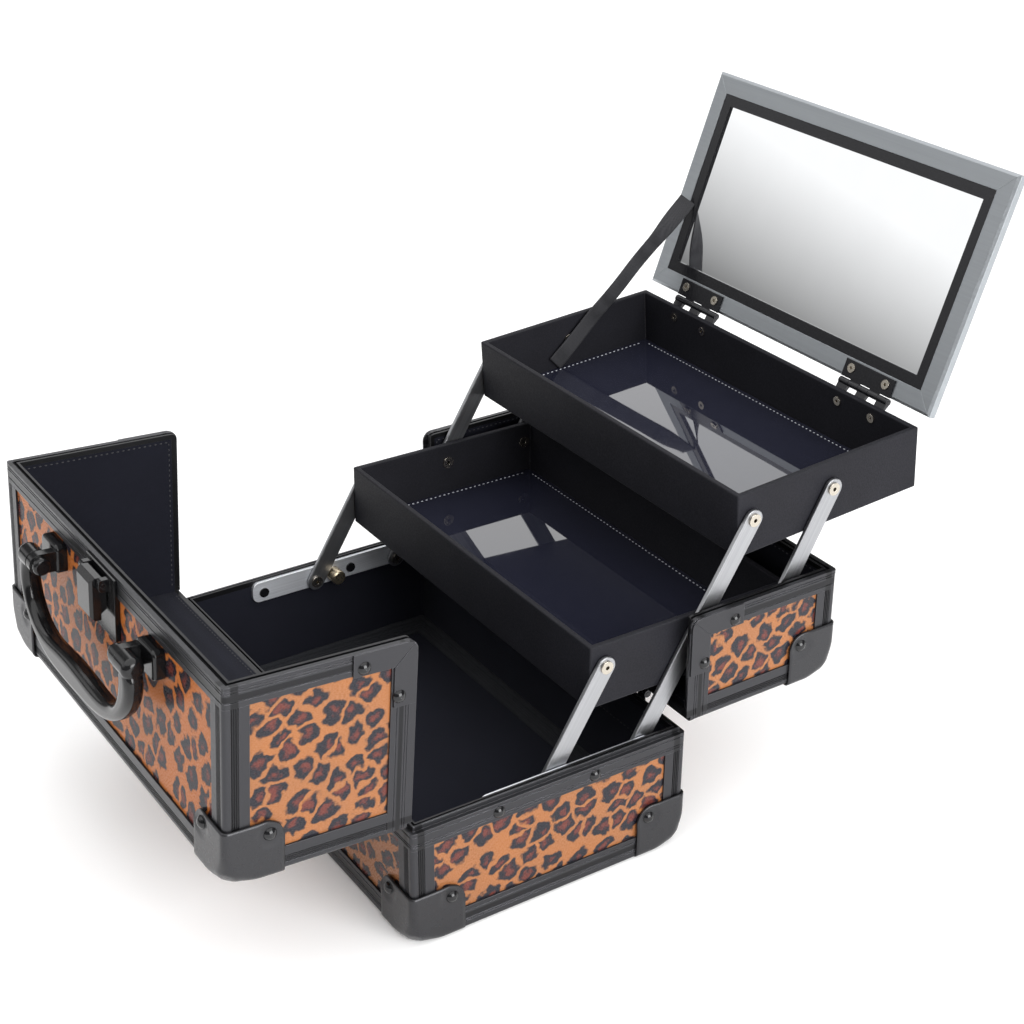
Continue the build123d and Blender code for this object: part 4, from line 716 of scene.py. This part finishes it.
def cove_strip():
    half_x, half_y = IN_X - COVE_CLEAR, IN_Y - COVE_CLEAR
    bm = bmesh.new()
    rings = []
    for k in range(COVE_STEPS + 1):
        angle = math.pi / 2 * k / COVE_STEPS
        inset = COVE_R * (1 - math.cos(angle)) + COVE_LIFT
        z = FLOOR_TOP + COVE_R * (1 - math.sin(angle)) + COVE_LIFT
        ring = []
        for side in range(4):
            ax, ay = ((-1, -1), (1, -1), (1, 1), (-1, 1))[side]
            bx, by = ((1, -1), (1, 1), (-1, 1), (-1, -1))[side]
            for i in range(COVE_POINTS):
                t = i / COVE_POINTS
                x = (ax + (bx - ax) * t) * (half_x - inset)
                y = (ay + (by - ay) * t) * (half_y - inset)
                wave = COVE_WAVE * noise.noise(Vector((x * 0.09, y * 0.09, side)))
                ring.append(bm.verts.new(Vector((x, y, z + max(0, wave))) * MM))
        rings.append(ring)
    for a, b in zip(rings, rings[1:]):
        for i in range(len(a)):
            n = (i + 1) % len(a)
            bm.faces.new((a[i], a[n], b[n], b[i]))
    bmesh.ops.recalc_face_normals(bm, faces=bm.faces)
    obj = mesh_object("base_lining_foot_strip", bm)
    thick = obj.modifiers.new("cloth", "SOLIDIFY")
    thick.thickness, thick.offset = 0.6 * MM, 0
    finished(obj, lining_edge, "base", "lining_fabric")


cove_strip()

# The woven ribbon that stops the mirror, pulled tight from the tray's side to the mirror's frame

STRAP_W, STRAP_T, STRAP_ROWS, STRAP_COLUMNS = 10.0, 0.7, 110, 10
STRAP_FOOT = Vector((-TRAY_W / 2 + TRAY_WALL + 1.4, -11, -9))  # in the upper tray's frame
STRAP_HEAD = Vector((-101.1, -52.2, -1.6))  # on the mirror's frame, in the mirror's
LIP, CUPPING, RIPPLE, NARROWING = 0.18, 0.25, 0.35, 0.10
TWIST, TWIST_FROM = math.radians(55), 0.72  # it turns edge on towards its head


def ribbon_strap():
    """The ribbon, as one sheet with a selvedge along each side."""
    foot = UPPER_TRAY @ (STRAP_FOOT * MM)
    head = MIRROR @ (STRAP_HEAD * MM)
    run = head - foot
    across = run.cross(Vector((1, 0, 0))).normalized()
    out = across.cross(run).normalized()
    bm = bmesh.new()
    grid = []
    for i in range(STRAP_ROWS + 1):
        t = i / STRAP_ROWS
        row = []
        for j in range(STRAP_COLUMNS + 1):
            u = j / STRAP_COLUMNS * 2 - 1
            # selvedges stand a little proud and the ribbon cups and ripples slightly between its ends
            free = math.sin(math.pi * t)
            lip = LIP * smoothstep(0.72, 0.95, abs(u)) - CUPPING * u * u * free
            ripple = RIPPLE * math.sin(5.5 * math.pi * t) * free
            narrow = 1 - NARROWING * free
            twist = TWIST * smoothstep(TWIST_FROM, 1.0, t)
            wide = across * math.cos(twist) + out * math.sin(twist)
            proud = out * math.cos(twist) - across * math.sin(twist)
            aside = wide * (u * STRAP_W / 2 * narrow * MM) + proud * ((lip + ripple) * MM)
            row.append(bm.verts.new(foot + run * t + aside))
        grid.append(row)
    for a, b in zip(grid, grid[1:]):
        for j in range(STRAP_COLUMNS):
            bm.faces.new((a[j], a[j + 1], b[j + 1], b[j]))
    obj = mesh_object("mirror_ribbon", bm)
    thick = obj.modifiers.new("ribbon", "SOLIDIFY")
    thick.thickness, thick.offset = STRAP_T * MM, 0
    finished(obj, ribbon, None, "black_ribbon", "mirror_strap")
    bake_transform(obj)


ribbon_strap()

# ---------------------------------------------------------------- floor and light

FLOOR = 6.0  # half its width, in metres
sheet = bmesh.new()
sheet.faces.new([sheet.verts.new((x * FLOOR, y * FLOOR, 0)) for x, y in ((-1, -1), (1, -1), (1, 1), (-1, 1))])
floor = mesh_object("floor", sheet)
paper = Shader("paper")
tone = paper.noise(paper.place(), 0.01, 2.0)
paper.set(base_color=paper.mix(tone, (0.90, 0.90, 0.90), (0.93, 0.93, 0.93)), roughness=0.9)
paper.set(emission_color=(1, 1, 1), emission_strength=0.12)
floor.data.materials.append(paper.material)


def area_light(name, at, size, power):
    """A soft box in metres and watts, turned towards the middle of the case."""
    data = bpy.data.lights.new(name, "AREA")
    data.shape, data.size, data.size_y = "RECTANGLE", size[0], size[1]
    data.energy = power
    light = bpy.data.objects.new(name, data)
    aim = (CASE_MIDDLE - Vector(at)).to_track_quat("-Z", "Y")
    light.matrix_world = Matrix.Translation(at) @ aim.to_matrix().to_4x4()
    bpy.context.scene.collection.objects.link(light)


CASE_MIDDLE = Vector((0, 0, 0.12))
area_light("side", (1.7, 0.25, 0.75), (1.3, 1.1), 36)
area_light("front", (-0.3, -1.6, 1.0), (1.0, 0.8), 2)

# a wide soft light from above, the same over the whole floor
overhead = bpy.data.objects.new("overhead", bpy.data.lights.new("overhead", "SUN"))
overhead.data.energy, overhead.data.angle = 2.9, math.radians(100)
bpy.context.scene.collection.objects.link(overhead)


ROOM = 0.20  # strength of the dim room all round
# (direction over the floor, sine of elevation where it starts and is full, strength)
BACKDROPS = (
    ((-0.702, -0.712, 0.0), 0.128, 0.205, 0.90),
    ((-0.83, 0.55, 0.0), 0.22, 0.30, 1.5),
)


def studio_world():
    """A dim room with two tall pale backdrops on the left, one for the mirror and one for the trays."""
    world = bpy.data.worlds.new("world")
    world.use_nodes = True
    w = Nodes(world.node_tree)
    look = w.node("ShaderNodeTexCoord").outputs["Generated"]
    up = w.node("ShaderNodeSeparateXYZ", {"Vector": look}).outputs["Z"]
    flat = w.vector("NORMALIZE", w.vector("MULTIPLY", look, (1, 1, 0)))
    strength = None
    for direction, start, full, brightness in BACKDROPS:
        toward = w.ramp(w.vector("DOT_PRODUCT", flat, direction), 0.90, 0.955)
        rising = w.ramp(up, start, full, 0.0, brightness, smooth=False)
        fading = w.ramp(up, 0.5, 0.75, 1.0, 0.0)
        lit = w.math("MULTIPLY", w.math("MULTIPLY", rising, fading), toward)
        strength = lit if strength is None else w.math("ADD", strength, lit)
    background = w.tree.nodes["Background"]
    background.inputs["Color"].default_value = (1.0, 1.0, 1.0, 1)
    w.put(background.inputs["Strength"], w.math("ADD", strength, ROOM))
    return world


bpy.context.scene.world = studio_world()
bpy.context.scene.view_settings.view_transform = "Standard"
